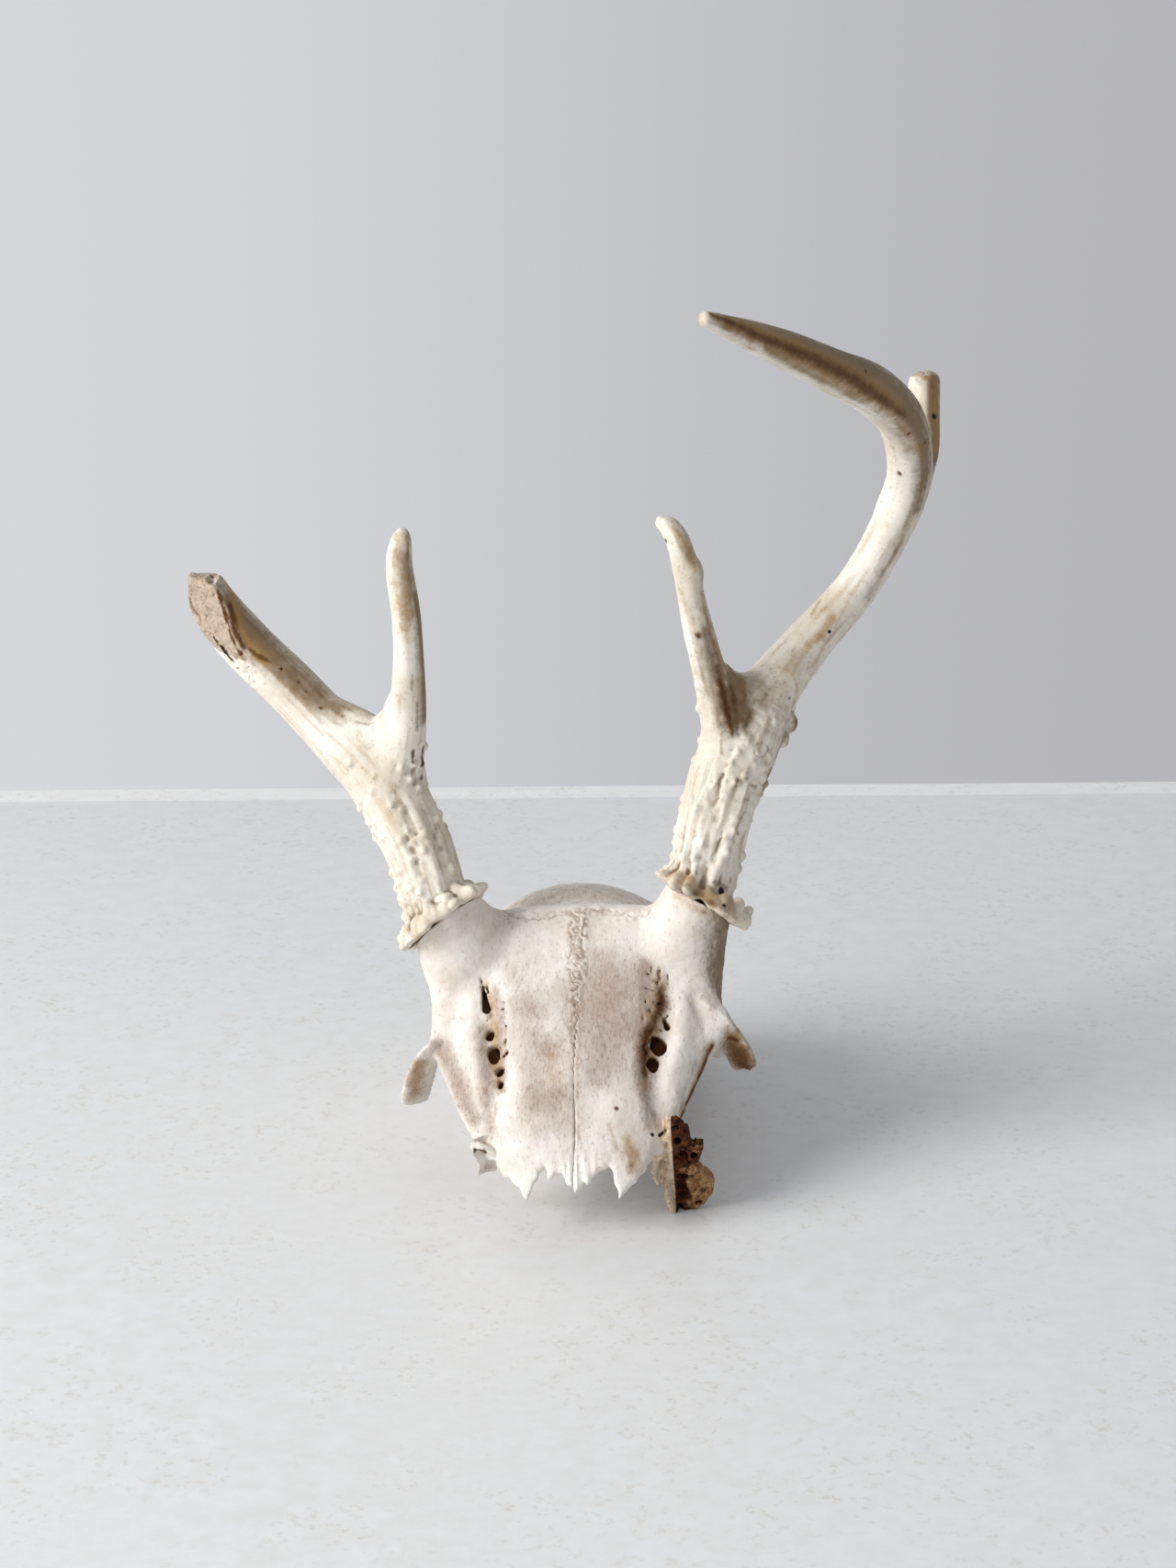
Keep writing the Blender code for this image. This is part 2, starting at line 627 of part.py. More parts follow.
def lay_on_floor(parts, cutters):
    """Flattens what touches the floor and centres the whole over the origin."""
    ground = block("floor", cutters, (0, 0, -REACH / 2), (REACH, REACH, REACH))
    for part in parts:
        if min(vert.co.z for vert in part.data.vertices) < 0:
            combine(part, ground, "DIFFERENCE")
    corners = [vert.co for part in parts for vert in part.data.vertices]
    middle_x = (min(c.x for c in corners) + max(c.x for c in corners)) / 2
    middle_y = (min(c.y for c in corners) + max(c.y for c in corners)) / 2
    lowest = min(c.z for c in corners)
    for part in parts:
        part.data.transform(Matrix.Translation((-middle_x, -middle_y, -lowest)))
    print(f"Centred by {-middle_x / MM:.2f}, {-middle_y / MM:.2f}, {-lowest / MM:.2f} mm")


def main():
    clear_scene()
    group = collection("deer_skull")
    cutters = collection("cutters", helper=True)
    guides = collection("guides", helper=True)
    parts = skull(group, cutters, guides)
    for name, shape in ANTLERS.items():
        parts += antler(name, shape, group, cutters, guides)
    lay_on_floor(parts, cutters)
    for part in parts:
        if part.name.startswith("antler"):
            finish(part, ANTLER_BONE, ANTLER_ROUGHNESS)
        elif part.name == "lacrimal_left":
            finish(part, BROWN_BONE, BROWN_ROUGHNESS)
        else:
            finish(part, BONE, BONE_ROUGHNESS)


main()
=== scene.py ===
import itertools
import math

import bpy
import numpy as np
import openvdb as vdb
from mathutils import Matrix, Vector
from mathutils.bvhtree import BVHTree


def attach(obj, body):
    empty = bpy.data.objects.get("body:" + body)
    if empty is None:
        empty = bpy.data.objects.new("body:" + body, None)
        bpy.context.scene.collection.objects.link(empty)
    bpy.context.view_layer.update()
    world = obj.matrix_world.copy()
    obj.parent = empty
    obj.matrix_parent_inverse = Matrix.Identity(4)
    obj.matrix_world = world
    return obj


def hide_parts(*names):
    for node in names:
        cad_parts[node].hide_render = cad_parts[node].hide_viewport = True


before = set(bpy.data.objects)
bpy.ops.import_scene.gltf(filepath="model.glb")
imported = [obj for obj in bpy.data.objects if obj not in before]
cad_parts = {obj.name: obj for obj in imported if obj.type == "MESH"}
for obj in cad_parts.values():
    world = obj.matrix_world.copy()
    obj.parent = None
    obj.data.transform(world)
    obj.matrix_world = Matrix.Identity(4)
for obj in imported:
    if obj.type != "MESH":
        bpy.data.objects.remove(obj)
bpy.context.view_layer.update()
print("frame loaded:", len(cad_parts), "solids")

# Distances are in millimetres until a piece is finished, then in metres like the frame.
mm = 0.001
coarse = 1.0

# How the skull lies: its own axes run to its left, to its nape and up from between the eye sockets.
# All other places are above the floor, and are shifted so that the whole is centred.
lie = {"noseDown": 18.0, "lean": 2.8, "turn": 4.0, "at": (1.0, 21.0, 21.8), "centring": (4.38, -38.91, 0.0)}


def shifted(place):
    return tuple(a + b for a, b in zip(place, lie["centring"]))


skullAt = shifted(lie["at"])


def turnMatrix(*turns):
    matrix = Matrix.Identity(3)
    for axis, angle in turns:
        matrix = matrix @ Matrix.Rotation(math.radians(angle), 3, axis)
    return np.array(matrix)


skullTurn = turnMatrix(("Z", -lie["turn"]), ("Y", -lie["lean"]), ("X", lie["noseDown"]))


def toFrame(points):
    return np.asarray(points) @ skullTurn.T + skullAt


def toSkull(points):
    return (np.asarray(points) - skullAt) @ skullTurn


# the camera stands where the photograph was taken from
camera = {
    "at": shifted((3.0, -865.0, 419.5)), "down": 18.0, "focalPixels": 3400.0, "pictureWide": 1280, "pictureHigh": 1707,
    "nearest": 0.05, "furthest": 30.0, "sensor": 36.0,
}


def linked(name, data):
    obj = bpy.data.objects.new(name, data)
    bpy.context.scene.collection.objects.link(obj)
    return obj


def makeCamera():
    data = bpy.data.cameras.new("camera")
    data.sensor_width = camera["sensor"]
    data.lens = camera["focalPixels"] / camera["pictureHigh"] * data.sensor_width
    data.clip_start, data.clip_end = camera["nearest"], camera["furthest"]
    obj = linked("camera", data)
    obj.location = Vector(camera["at"]) * mm
    obj.rotation_euler = (math.radians(90 - camera["down"]), 0.0, 0.0)
    bpy.context.scene.camera = obj


def pictureRay(across, down):
    # from the camera through a pixel of the photograph
    tilt = math.radians(camera["down"])
    right = (across - camera["pictureWide"] / 2) / camera["focalPixels"]
    up = (camera["pictureHigh"] / 2 - down) / camera["focalPixels"]
    way = Vector((right, math.cos(tilt) + up * math.sin(tilt), up * math.cos(tilt) - math.sin(tilt)))
    return Vector(camera["at"]) * mm, way.normalized()


makeCamera()


# Shapes are distance fields: a surface is where the distance is zero, and inside it is negative.
lattice = 24       # cells before the noise repeats
emptySpace = 50.0  # a distance beyond any that matters


def grain(x, y, z, size, seed):
    # smooth noise between -1 and 1 on lattice cells of this size
    table = np.random.default_rng(seed).random((lattice,) * 3, dtype=np.float32) * 2 - 1
    cells = [np.asarray(c, np.float32) / size for c in (x, y, z)]
    corner = [np.floor(c).astype(np.int32) for c in cells]
    share = [c - b for c, b in zip(cells, corner)]
    share = [s * s * (3 - 2 * s) for s in share]
    total = 0.0
    for steps in itertools.product((0, 1), repeat=3):
        weight = 1.0
        for s, step in zip(share, steps):
            weight = weight * (s if step else 1 - s)
        total = total + weight * table[tuple((b + step) % lattice for b, step in zip(corner, steps))]
    return total


def grains(x, y, z, layers, start=0):
    # adds up layers of grain, each with its strength, size and seed
    return sum((strength * grain(x, y, z, size, seed) for strength, size, seed in layers), start)


def canalField(x, y, z, size, otherSize, seed):
    # near zero along thin winding canals
    return np.maximum(np.abs(grain(x, y, z, size, seed)), np.abs(grain(x, y, z, otherSize, seed + 1)))


def joined(a, b, blend):
    # the nearer of two distances, with the crease between them filled over a width
    if blend <= 0:
        return np.minimum(a, b)
    overlap = np.maximum(blend - np.abs(a - b), 0) / blend
    return np.minimum(a, b) - overlap * overlap * blend / 4


def ramp(value, low, high):
    share = np.clip((value - low) / (high - low), 0, 1)
    return share * share * (3 - 2 * share)


def bell(value, width):
    return np.exp(-((value / width) ** 2))


def unit(way):
    return np.array(way, float) / np.linalg.norm(way)


def pastPlane(at, away, x, y, z):
    # how far each place is past a plane
    return away[0] * (x - at[0]) + away[1] * (y - at[1]) + away[2] * (z - at[2])


class Block:
    # a block of space that is being filled and carved
    def __init__(self, low, high, voxel):
        self.low, self.voxel = np.array(low, float), voxel * coarse
        size = np.ceil((np.array(high, float) - self.low) / self.voxel).astype(int) + 1
        self.distance = np.full(size, emptySpace, np.float32)

    def window(self, low, high, margin):
        shape = self.distance.shape
        first = np.floor((np.asarray(low) - margin - self.low) / self.voxel).astype(int)
        last = np.ceil((np.asarray(high) + margin - self.low) / self.voxel).astype(int) + 1
        first, last = np.clip(first, 0, shape), np.clip(last, 0, shape)
        steps = [self.low[k] + self.voxel * np.arange(first[k], last[k]) for k in range(3)]
        x, y, z = (s.astype(np.float32) for s in steps)
        part = tuple(slice(a, b) for a, b in zip(first, last))
        return part, x[:, None, None], y[None, :, None], z[None, None, :]

    def around(self, at, reach):
        return self.window(np.array(at) - reach, np.array(at) + reach, 0)

    def everywhere(self):
        return self.window(self.low, self.low, 1e4)[1:]

    def mix(self, part, near, blend, cut=False):
        here = self.distance[part]
        self.distance[part] = -joined(-here, near, blend) if cut else joined(here, near, blend)

    def trim(self, part, beyond, blend=0.0):
        # takes away what lies beyond a surface and rounds the edge that is left
        self.mix(part, -beyond.astype(np.float32), blend, cut=True)

    def add(self, shape, blend=0.0, cut=False):
        low, high, distance = shape
        part, x, y, z = self.window(low, high, 2 + blend)
        if self.distance[part].size:
            self.mix(part, distance(x, y, z), blend, cut)

    def cut(self, shape, blend=0.0):
        self.add(shape, blend, cut=True)

    def addPath(self, stations, blend=0.0, cut=False, steps=5, shape=None):
        # a tapering bar along a smooth path, worked out only close to it
        points = smoothPath(stations, steps)
        margin = 2 + blend + 3 * self.voxel
        reach = points[:, 3].max()
        whole = self.window((points[:, :3] - reach).min(0), (points[:, :3] + reach).max(0), margin)[0]
        if not self.distance[whole].size:
            return
        near = np.full(self.distance[whole].shape, emptySpace, np.float32)
        for a, b in zip(points, points[1:]):
            thick = max(a[3], b[3])
            part, x, y, z = self.window(np.minimum(a, b)[:3] - thick, np.maximum(a, b)[:3] + thick, margin)
            part = tuple(slice(p.start - w.start, p.stop - w.start) for p, w in zip(part, whole))
            if near[part].size:
                near[part] = np.minimum(near[part], (shape or barDistance)(a, b, x, y, z))
        self.mix(whole, near, blend, cut)

    def addMesh(self, mesh, blend):
        # a closed mesh in metres, as made by a node tree
        points = meshPoints(mesh)
        mesh.calc_loop_triangles()
        corners = np.empty(len(mesh.loop_triangles) * 3, np.int32)
        mesh.loop_triangles.foreach_get("vertices", corners)
        reach = 3.0
        part = self.window(points.min(0), points.max(0), blend + (reach + 1) * self.voxel)[0]
        first = np.array([p.start for p in part])
        cells = (points - self.low) / self.voxel - first
        grid = vdb.FloatGrid.createLevelSetFromPolygons(
            cells.astype(np.float32), triangles=corners.reshape(-1, 3).astype(np.uint32), halfWidth=reach)
        near = np.full(self.distance[part].shape, reach, np.float32)
        grid.copyToArray(near)
        self.mix(part, np.where(near >= reach, emptySpace, near * self.voxel).astype(np.float32), blend)

    def surface(self, distance=None):
        # points in millimetres and four-cornered faces where the distance is zero
        distance = self.distance if distance is None else distance
        edge = 3 * self.voxel
        grid = vdb.FloatGrid(edge)
        grid.copyFromArray(np.ascontiguousarray(np.clip(distance, -edge, edge), dtype=np.float32))
        points, quads = grid.convertToQuads(0.0)
        return largestShell(self.low + self.voxel * points.astype(float), quads.astype(np.int64))


def smoothPath(stations, steps):
    # through every station on a smooth curve
    knots = np.array(stations, float)
    knots = np.vstack([2 * knots[0] - knots[1], knots, 2 * knots[-1] - knots[-2]])
    points = []
    for a, b, c, d in zip(knots, knots[1:], knots[2:], knots[3:]):
        for step in range(steps):
            t = step / steps
            bend, twist = 2 * a - 5 * b + 4 * c - d, 3 * b - 3 * c + d - a
            points.append(0.5 * (2 * b + (c - a) * t + bend * t**2 + twist * t**3))
    points.append(knots[-2])
    return np.array(points)


def alongBar(a, b, x, y, z):
    # how far along a bar each place is, as a share, and how far off the bar's middle line in x, y and z
    way = b[:3] - a[:3]
    share = np.clip(pastPlane(a, way, x, y, z) / max(way @ way, 1e-9), 0, 1)
    return share, [c - start - share * w for c, start, w in zip((x, y, z), a, way)]


def barDistance(a, b, x, y, z):
    share, offs = alongBar(a, b, x, y, z)
    return (np.sqrt(sum(off**2 for off in offs)) - a[3] - (b[3] - a[3]) * share).astype(np.float32)


def ovalDistance(far, near):
    # from the sums of the squares of each offset over its half axis and over the square of its half axis
    return (np.sqrt(far) * (np.sqrt(far) - 1) / np.sqrt(near + 1e-6)).astype(np.float32)


def egg(at, radii, pitch=0.0, yaw=0.0, bank=0.0):
    at, radii = np.array(at, float), np.array(radii, float)
    axes = turnMatrix(("Z", yaw), ("X", pitch), ("Y", bank))
    reach = np.sqrt((axes**2) @ radii**2)

    def distance(x, y, z):
        far = near = 0
        for axis, radius in zip(axes.T, radii):
            share = pastPlane(at, axis, x, y, z) / radius
            far = far + share**2
            near = near + (share / radius) ** 2
        return ovalDistance(far, near)

    return at - reach, at + reach, distance


def flatBar(across, flatness):
    # a bar squashed to a strap: its widest way and how much thinner it is the other way
    across = unit(across)

    def distance(a, b, x, y, z):
        share, offs = alongBar(a, b, x, y, z)
        wide = sum(c * off for c, off in zip(across, offs))
        thin2 = np.maximum(sum(off * off for off in offs) - wide**2, 0)
        radius = a[3] + (b[3] - a[3]) * share
        slim = radius / flatness
        return ovalDistance(wide**2 / radius**2 + thin2 / slim**2, wide**2 / radius**4 + thin2 / slim**4)

    return distance


def plate(outline, thick, y0, bow):
    # a thin sheet with this outline in x and z, bowed along y by a function of them
    corners = np.array([(a, y0 + s * (thick + 4), b) for a, b in outline for s in (-1, 1)])

    def distance(x, y, z):
        flat = np.abs(y - y0 - bow(x, z)) - thick / 2
        return -joined(-outlineDistance(x, z, outline), -flat, 0.7).astype(np.float32)

    return corners.min(0), corners.max(0), distance


def outlineDistance(x, y, outline):
    # distance in a plane to a closed outline, negative inside it
    nearest, inside = 1e9, False
    for (ax, ay), (bx, by) in zip(outline, outline[1:] + outline[:1]):
        wayX, wayY = bx - ax, by - ay
        share = np.clip(((x - ax) * wayX + (y - ay) * wayY) / (wayX**2 + wayY**2), 0, 1)
        nearest = np.minimum(nearest, (x - ax - share * wayX) ** 2 + (y - ay - share * wayY) ** 2)
        crosses = ((ay > y) != (by > y)) & (x < wayX * (y - ay) / (by - ay + 1e-12) + ax)
        inside = inside ^ crosses
    return np.where(inside, -1, 1) * np.sqrt(nearest)


def largestShell(points, quads):
    # drops crumbs that hang loose beside the main body
    label = np.arange(len(points))
    links = np.vstack([quads[:, :2], quads[:, 1:3], quads[:, 2:]])
    while True:
        low = np.minimum(label[links[:, 0]], label[links[:, 1]])
        new = label.copy()
        np.minimum.at(new, links[:, 0], low)
        np.minimum.at(new, links[:, 1], low)
        new = new[new]
        if (new == label).all():
            break
        label = new
    kept = label == np.bincount(label).argmax()
    number = np.cumsum(kept) - 1
    return points[kept], number[quads[kept[quads[:, 0]]]]


def setPoints(mesh, points):
    mesh.vertices.foreach_set("co", (points * mm).astype(np.float32).ravel())
    mesh.update()


def meshFrom(name, points, quads):
    mesh = bpy.data.meshes.new(name)
    mesh.vertices.add(len(points))
    setPoints(mesh, points)
    mesh.loops.add(quads.size)
    mesh.loops.foreach_set("vertex_index", quads.astype(np.int32).ravel())
    mesh.polygons.add(len(quads))
    mesh.polygons.foreach_set("loop_start", np.arange(0, quads.size, 4, dtype=np.int32))
    mesh.update(calc_edges=True)
    mesh.shade_smooth()
    return mesh


def vectorsOf(items, name):
    values = np.empty(len(items) * 3, np.float32)
    items.foreach_get(name, values)
    return values.reshape(-1, 3).astype(float)


def meshPoints(mesh):
    return vectorsOf(mesh.vertices, "co") / mm


def meshNormals(mesh):
    return vectorsOf(mesh.vertex_normals, "vector")


def pushed(mesh, relief):
    # moves each vertex along its normal by so many millimetres
    setPoints(mesh, meshPoints(mesh) + meshNormals(mesh) * np.asarray(relief)[:, None])


def settle(mesh):
    # nothing sinks below the floor
    points = meshPoints(mesh)
    points[:, 2] = np.maximum(points[:, 2], 0)
    setPoints(mesh, points)


def hollowness(mesh, rounds, scale):
    # above zero in creases and pits, below it on ridges
    points = start = meshPoints(mesh)
    ends = np.empty(len(mesh.edges) * 2, np.int32)
    mesh.edges.foreach_get("vertices", ends)
    a, b = ends.reshape(-1, 2).T
    here, there = np.concatenate([a, b]), np.concatenate([b, a])
    count = np.bincount(here, minlength=len(points))[:, None]
    for _ in range(rounds):
        points = np.stack([np.bincount(here, points[there, k], minlength=len(points)) for k in range(3)], 1) / count
    return np.clip(((points - start) * meshNormals(mesh)).sum(1) / scale, -1, 1)


def addNumbers(mesh, name, values):
    attribute = mesh.attributes.new(name, "FLOAT", "POINT")
    attribute.data.foreach_set("value", np.asarray(values, np.float32))


def addVectors(mesh, name, values):
    attribute = mesh.attributes.new(name, "FLOAT_VECTOR", "POINT")
    attribute.data.foreach_set("vector", np.asarray(values, np.float32).ravel())


# How marks are painted: how uneven the edges of soft and crisp ones are, up to what strength and from what half
# width in pixels they are soft, and the middle of the picture, which they have to face.
brush = {
    "soft": ((0.12, 2.2, 71), (0.1, 0.9, 72)), "crisp": ((0.35, 2.2, 71), (0.25, 0.9, 72)),
    "softUpTo": 0.6, "softFrom": 5, "middle": (640, 1000),
}


def strokeMask(points, normals, tree, path, soft):
    # a mark that follows pixels of the photograph, with its half width in pixels, laid on the surface behind them
    hits = []
    for across, down, radius in path:
        start, way = pictureRay(across, down)
        spot = tree.ray_cast(start, way)[0]
        if spot is not None:
            depth = (spot - start).length / mm
            hits.append((*(np.array(spot) / mm), radius * depth / camera["focalPixels"]))
    mask = np.zeros(len(points))
    if not hits:
        return mask
    hits = np.array(hits if len(hits) > 1 else hits * 2)
    margin = 2.5 * hits[:, 3].max()
    near = ((points > hits[:, :3].min(0) - margin) & (points < hits[:, :3].max(0) + margin)).all(1)
    spots = points[near]
    wobble = grains(*spots.T, brush["soft" if soft else "crisp"])
    for a, b in zip(hits, hits[1:]):
        radius = max(a[3], b[3])
        off = barDistance(a, b, *spots.T) + wobble * radius
        painted = bell(np.maximum(off + radius, 0), radius) if soft else ramp(off, radius * 0.5 + 0.1, -radius * 0.7)
        mask[near] = np.maximum(mask[near], painted)
    return mask * ramp(normals @ np.array(pictureRay(*brush["middle"])[1]), 0.5, -0.1)


def surfaceTree(shells):
    # what a ray can hit of these shells of points and quads
    points = np.vstack([points for points, _ in shells])
    starts = np.cumsum([0] + [len(points) for points, _ in shells])
    quads = np.vstack([quads + start for (_, quads), start in zip(shells, starts)])
    return BVHTree.FromPolygons((points * mm).tolist(), quads.tolist())


def paintStrokes(mesh, strokes, tree):
    points, normals = meshPoints(mesh), meshNormals(mesh)
    masks = {kind: np.zeros(len(points)) for kind in ("shade", "tan", "stain", "dark")}
    for kind, strengths in strokes.items():
        for strength, paths in strengths.items():
            for path in paths:
                soft = kind in ("shade", "tan") or strength <= brush["softUpTo"]
                soft = soft or max(radius for _, _, radius in path) >= brush["softFrom"]
                mask = strokeMask(points, normals, tree, path, soft) * strength
                masks[kind] = np.maximum(masks[kind], mask)
    return masks


def finishPiece(name, mesh, nodes, material):
    mesh.materials.clear()
    mesh.materials.append(material)
    obj = linked(name, mesh)
    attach(obj, "root")
    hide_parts(*nodes)
    print(" ", name, len(mesh.polygons) * 2, "triangles")


class Wire:
    # a socket in a node tree; arithmetic on it adds Math nodes
    def __init__(self, tree, socket=None):
        self.tree, self.socket = tree, socket

    def node(self, kind, settings=None, inputs=None, out=0):
        made = self.tree.nodes.new(kind)
        for name, value in (settings or {}).items():
            setattr(made, name, value)
        plug(made, inputs or {})
        return Wire(self.tree, made.outputs[out])

    def maths(self, operation, *values):
        return self.node("ShaderNodeMath", {"operation": operation}, dict(enumerate(values)))

    def __add__(self, other):
        return self.maths("ADD", self, other)

    def __sub__(self, other):
        return self.maths("SUBTRACT", self, other)

    def __rsub__(self, other):
        return self.maths("SUBTRACT", other, self)

    def __mul__(self, other):
        return self.maths("MULTIPLY", self, other)

    def __truediv__(self, other):
        return self.maths("DIVIDE", self, other)

    def __rtruediv__(self, other):
        return self.maths("DIVIDE", other, self)

    __radd__ = __add__
    __rmul__ = __mul__

    def between(self, low, high):
        return self.node("ShaderNodeMapRange", {"interpolation_type": "SMOOTHSTEP"},
                         {"Value": self, "From Min": low, "From Max": high})

    def number(self, name):
        return self.node("ShaderNodeAttribute", {"attribute_name": name}, out="Fac")

    def noise(self, size, detail, rough, shift=0.0, flow="", stretch=(1, 1, 1)):
        # noise with features of this many millimetres, on the piece's own places or on some written on its points
        if flow:
            place, fine = self.node("ShaderNodeAttribute", {"attribute_name": flow}, out="Vector"), 1.0
        else:
            place, fine = self.node("ShaderNodeTexCoord", out="Object"), 1 / mm
        place = self.node("ShaderNodeMapping", {}, {"Vector": place, "Location": (shift, shift * 0.7, shift * 1.3),
                                                    "Scale": tuple(fine / size / s for s in stretch)})
        return self.node("ShaderNodeTexNoise", {},
                         {"Vector": place, "Scale": 1.0, "Detail": detail, "Roughness": rough})

    def mixed(self, share, first, second):
        return self.node("ShaderNodeMix", {"data_type": "RGBA", "clamp_factor": True},
                         {0: share, 6: first, 7: second}, out=2)

    def coat(self, colour, name, tint, low, high, strength, *uneven):
        # lays a tint over a colour where a number written on the surface is high, with noise at its edge
        share = self.number(name)
        for noise, much in uneven:
            share = share + (noise - 0.5) * much
        return self.mixed(share.between(low, high) * strength, colour, tint)


def newMaterial(name):
    material = bpy.data.materials.new(name)
    material.use_nodes = True
    return material, Wire(material.node_tree), material.node_tree.nodes["Principled BSDF"]


def plug(shader, values):
    # links a wire or sets a value on each named socket
    for name, value in values.items():
        if isinstance(value, Wire):
            value.tree.links.new(value.socket, shader.inputs[name])
        else:
            shader.inputs[name].default_value = value


# what all the bone and antler share: how high their fine relief is and how far light goes into them
dry = {"relief": 0.4 * mm, "scatter": (1.6 * mm, 1.1 * mm, 0.8 * mm)}


def dryFinish(wires, shader, finish, colour, mottle, height):
    bump = wires.node("ShaderNodeBump", {}, {"Strength": finish["bump"], "Distance": dry["relief"], "Height": height})
    roughness = finish["roughness"] + (mottle - 0.5) * finish["patchy"]
    plug(shader, {"Base Color": colour, "Roughness": roughness, "Normal": bump, "Specular IOR Level": finish["gloss"],
                  "Subsurface Weight": finish["deep"], "Subsurface Radius": dry["scatter"]})


def rgb(red, green, blue):
    # a colour as it looks on screen, 0 to 255
    return (*[((c / 255 + 0.055) / 1.055) ** 2.4 if c > 10 else c / 255 / 12.92 for c in (red, green, blue)], 1.0)


# Among these, the grey brown also paints shade on sides turned from the key light, the whitest cream also paints light
# on the teeth and dome, and the lilac and the umber also paint shade.
boneFinish = {
    "white": rgb(239, 233, 226), "cream": rgb(221, 211, 200), "freshAndLit": rgb(248, 243, 234), "lilac": rgb(174, 157, 146),
    "weatheredAndShaded": rgb(122, 96, 66), "umber": rgb(140, 114, 92), "tan": rgb(164, 128, 80), "brown": rgb(86, 50, 16),
    "dark": rgb(26, 14, 8), "roughness": 0.64, "patchy": 0.2, "bump": 0.4, "gloss": 0.2, "deep": 0.05,
}


def boneMaterial(name, finish):
    material, wires, shader = newMaterial(name)
    broad = wires.noise(15, 4, 0.6)
    mottle = wires.noise(3.4, 5, 0.65, shift=3.1)
    grit = wires.noise(0.9, 4, 0.75, shift=7.7)
    combed = wires.noise(0.8, 5, 0.7, shift=4.2, flow="skullPlace", stretch=(1, 3.5, 2))
    colour = wires.mixed(broad.between(0.35, 0.68), finish["cream"], finish["white"])
    # whiter on the broken teeth and the dome: the teeth's fresh white, and painted light on both
    colour = wires.mixed(wires.number("freshAndLit"), colour, finish["freshAndLit"])
    # lilac blush where the bone has it, and painted shade where the shade marks are
    colour = wires.coat(colour, "blushAndShade", finish["lilac"], 0.0, 1.1, 1.0, (mottle, 0.5), (combed, 0.7))
    # grey brown on the side turned from the key light: painted shade, with the bone's own weathering
    colour = wires.coat(colour, "weatherAndShade", finish["weatheredAndShaded"], 0.1, 1.1, 0.9, (mottle, 0.6), (combed, 0.5))
    speckle = (combed + (grit - 0.5) * 0.6 + wires.number("blushAndShade") * 0.12).between(0.60, 0.74)
    colour = wires.mixed(speckle * 0.45, colour, finish["umber"])
    # umber in creases and pits: painted shade
    colour = wires.coat(colour, "hollow", finish["umber"], 0.3, 1.0, 0.5, (grit, 0.5))
    colour = wires.mixed(wires.number("seam") * 0.6, colour, finish["umber"])
    colour = wires.coat(colour, "tan", finish["tan"], 0.1, 1.1, 0.9, (mottle, 0.8), (combed, 0.5))
    colour = wires.coat(colour, "stain", finish["brown"], 0.2, 1.0, 1.0, (grit, 0.5), (mottle, 0.4))
    colour = wires.coat(colour, "dark", finish["dark"], 0.25, 0.8, 1.0, (grit, 0.2))
    specks = wires.noise(0.6, 2, 0.5, shift=11.0).between(0.72, 0.78)
    colour = wires.mixed(specks * 0.4, colour, finish["brown"])
    dryFinish(wires, shader, finish, colour, mottle, grit * 0.4 + mottle * 0.4 + combed * 0.6 - specks * 0.8)
    return material


stainedFinish = {
    "black": rgb(12, 5, 2), "brown": rgb(48, 20, 6), "rust": rgb(92, 44, 15), "ochre": rgb(122, 75, 30),
    "sand": rgb(178, 144, 102), "pale": rgb(228, 208, 182), "rose": rgb(184, 154, 126), "roughness": 0.8,
    "patchy": 0.2, "bump": 0.6, "gloss": 0.2, "deep": 0.0,
}


def stainedMaterial(name, finish):
    # bone soaked brown, with an ochre lump and a pale wall
    material, wires, shader = newMaterial(name)
    mottle = wires.noise(2.6, 5, 0.65, shift=3.1)
    grit = wires.noise(0.8, 4, 0.75, shift=7.7)
    colour = wires.mixed(mottle.between(0.4, 0.62), finish["brown"], finish["rust"])
    ochre = wires.mixed((mottle * 0.5 + grit * 0.5).between(0.4, 0.62), finish["ochre"], finish["sand"])
    colour = wires.coat(colour, "ochre", ochre, 0.25, 0.9, 1.0, (mottle, 2.0))
    pale = wires.mixed((mottle * 0.6 + grit * 0.4).between(0.42, 0.62), finish["pale"], finish["rose"])
    colour = wires.coat(colour, "pale", pale, 0.3, 0.7, 1.0, (mottle, 0.5))
    # the pores go nearly black except on the pale wall: painted shade in them
    paleShare = 1.0 - wires.number("pale") * 0.8
    colour = wires.coat(colour, "hollow", finish["black"], 0.0, 0.7, paleShare * 0.85, (grit, 0.4))
    colour = wires.coat(colour, "dark", finish["black"], 0.25, 0.8, 1.0, (grit, 0.2))
    dryFinish(wires, shader, finish, colour, mottle, grit + mottle)
    return material


# Among these, the grey brown also paints shade on faces turned from the key light, and the umber and brown also paint
# shade in creases.
antlerFinish = {
    "white": rgb(241, 235, 224), "cream": rgb(219, 208, 190), "weatheredAndShaded": rgb(122, 97, 64), "tan": rgb(168, 130, 72),
    "umber": rgb(112, 80, 44), "brown": rgb(86, 50, 10), "dark": rgb(36, 20, 10), "beige": rgb(208, 190, 164),
    "core": rgb(188, 171, 152), "roughness": 0.55, "patchy": 0.25, "bump": 0.4, "gloss": 0.2, "deep": 0.04,
}


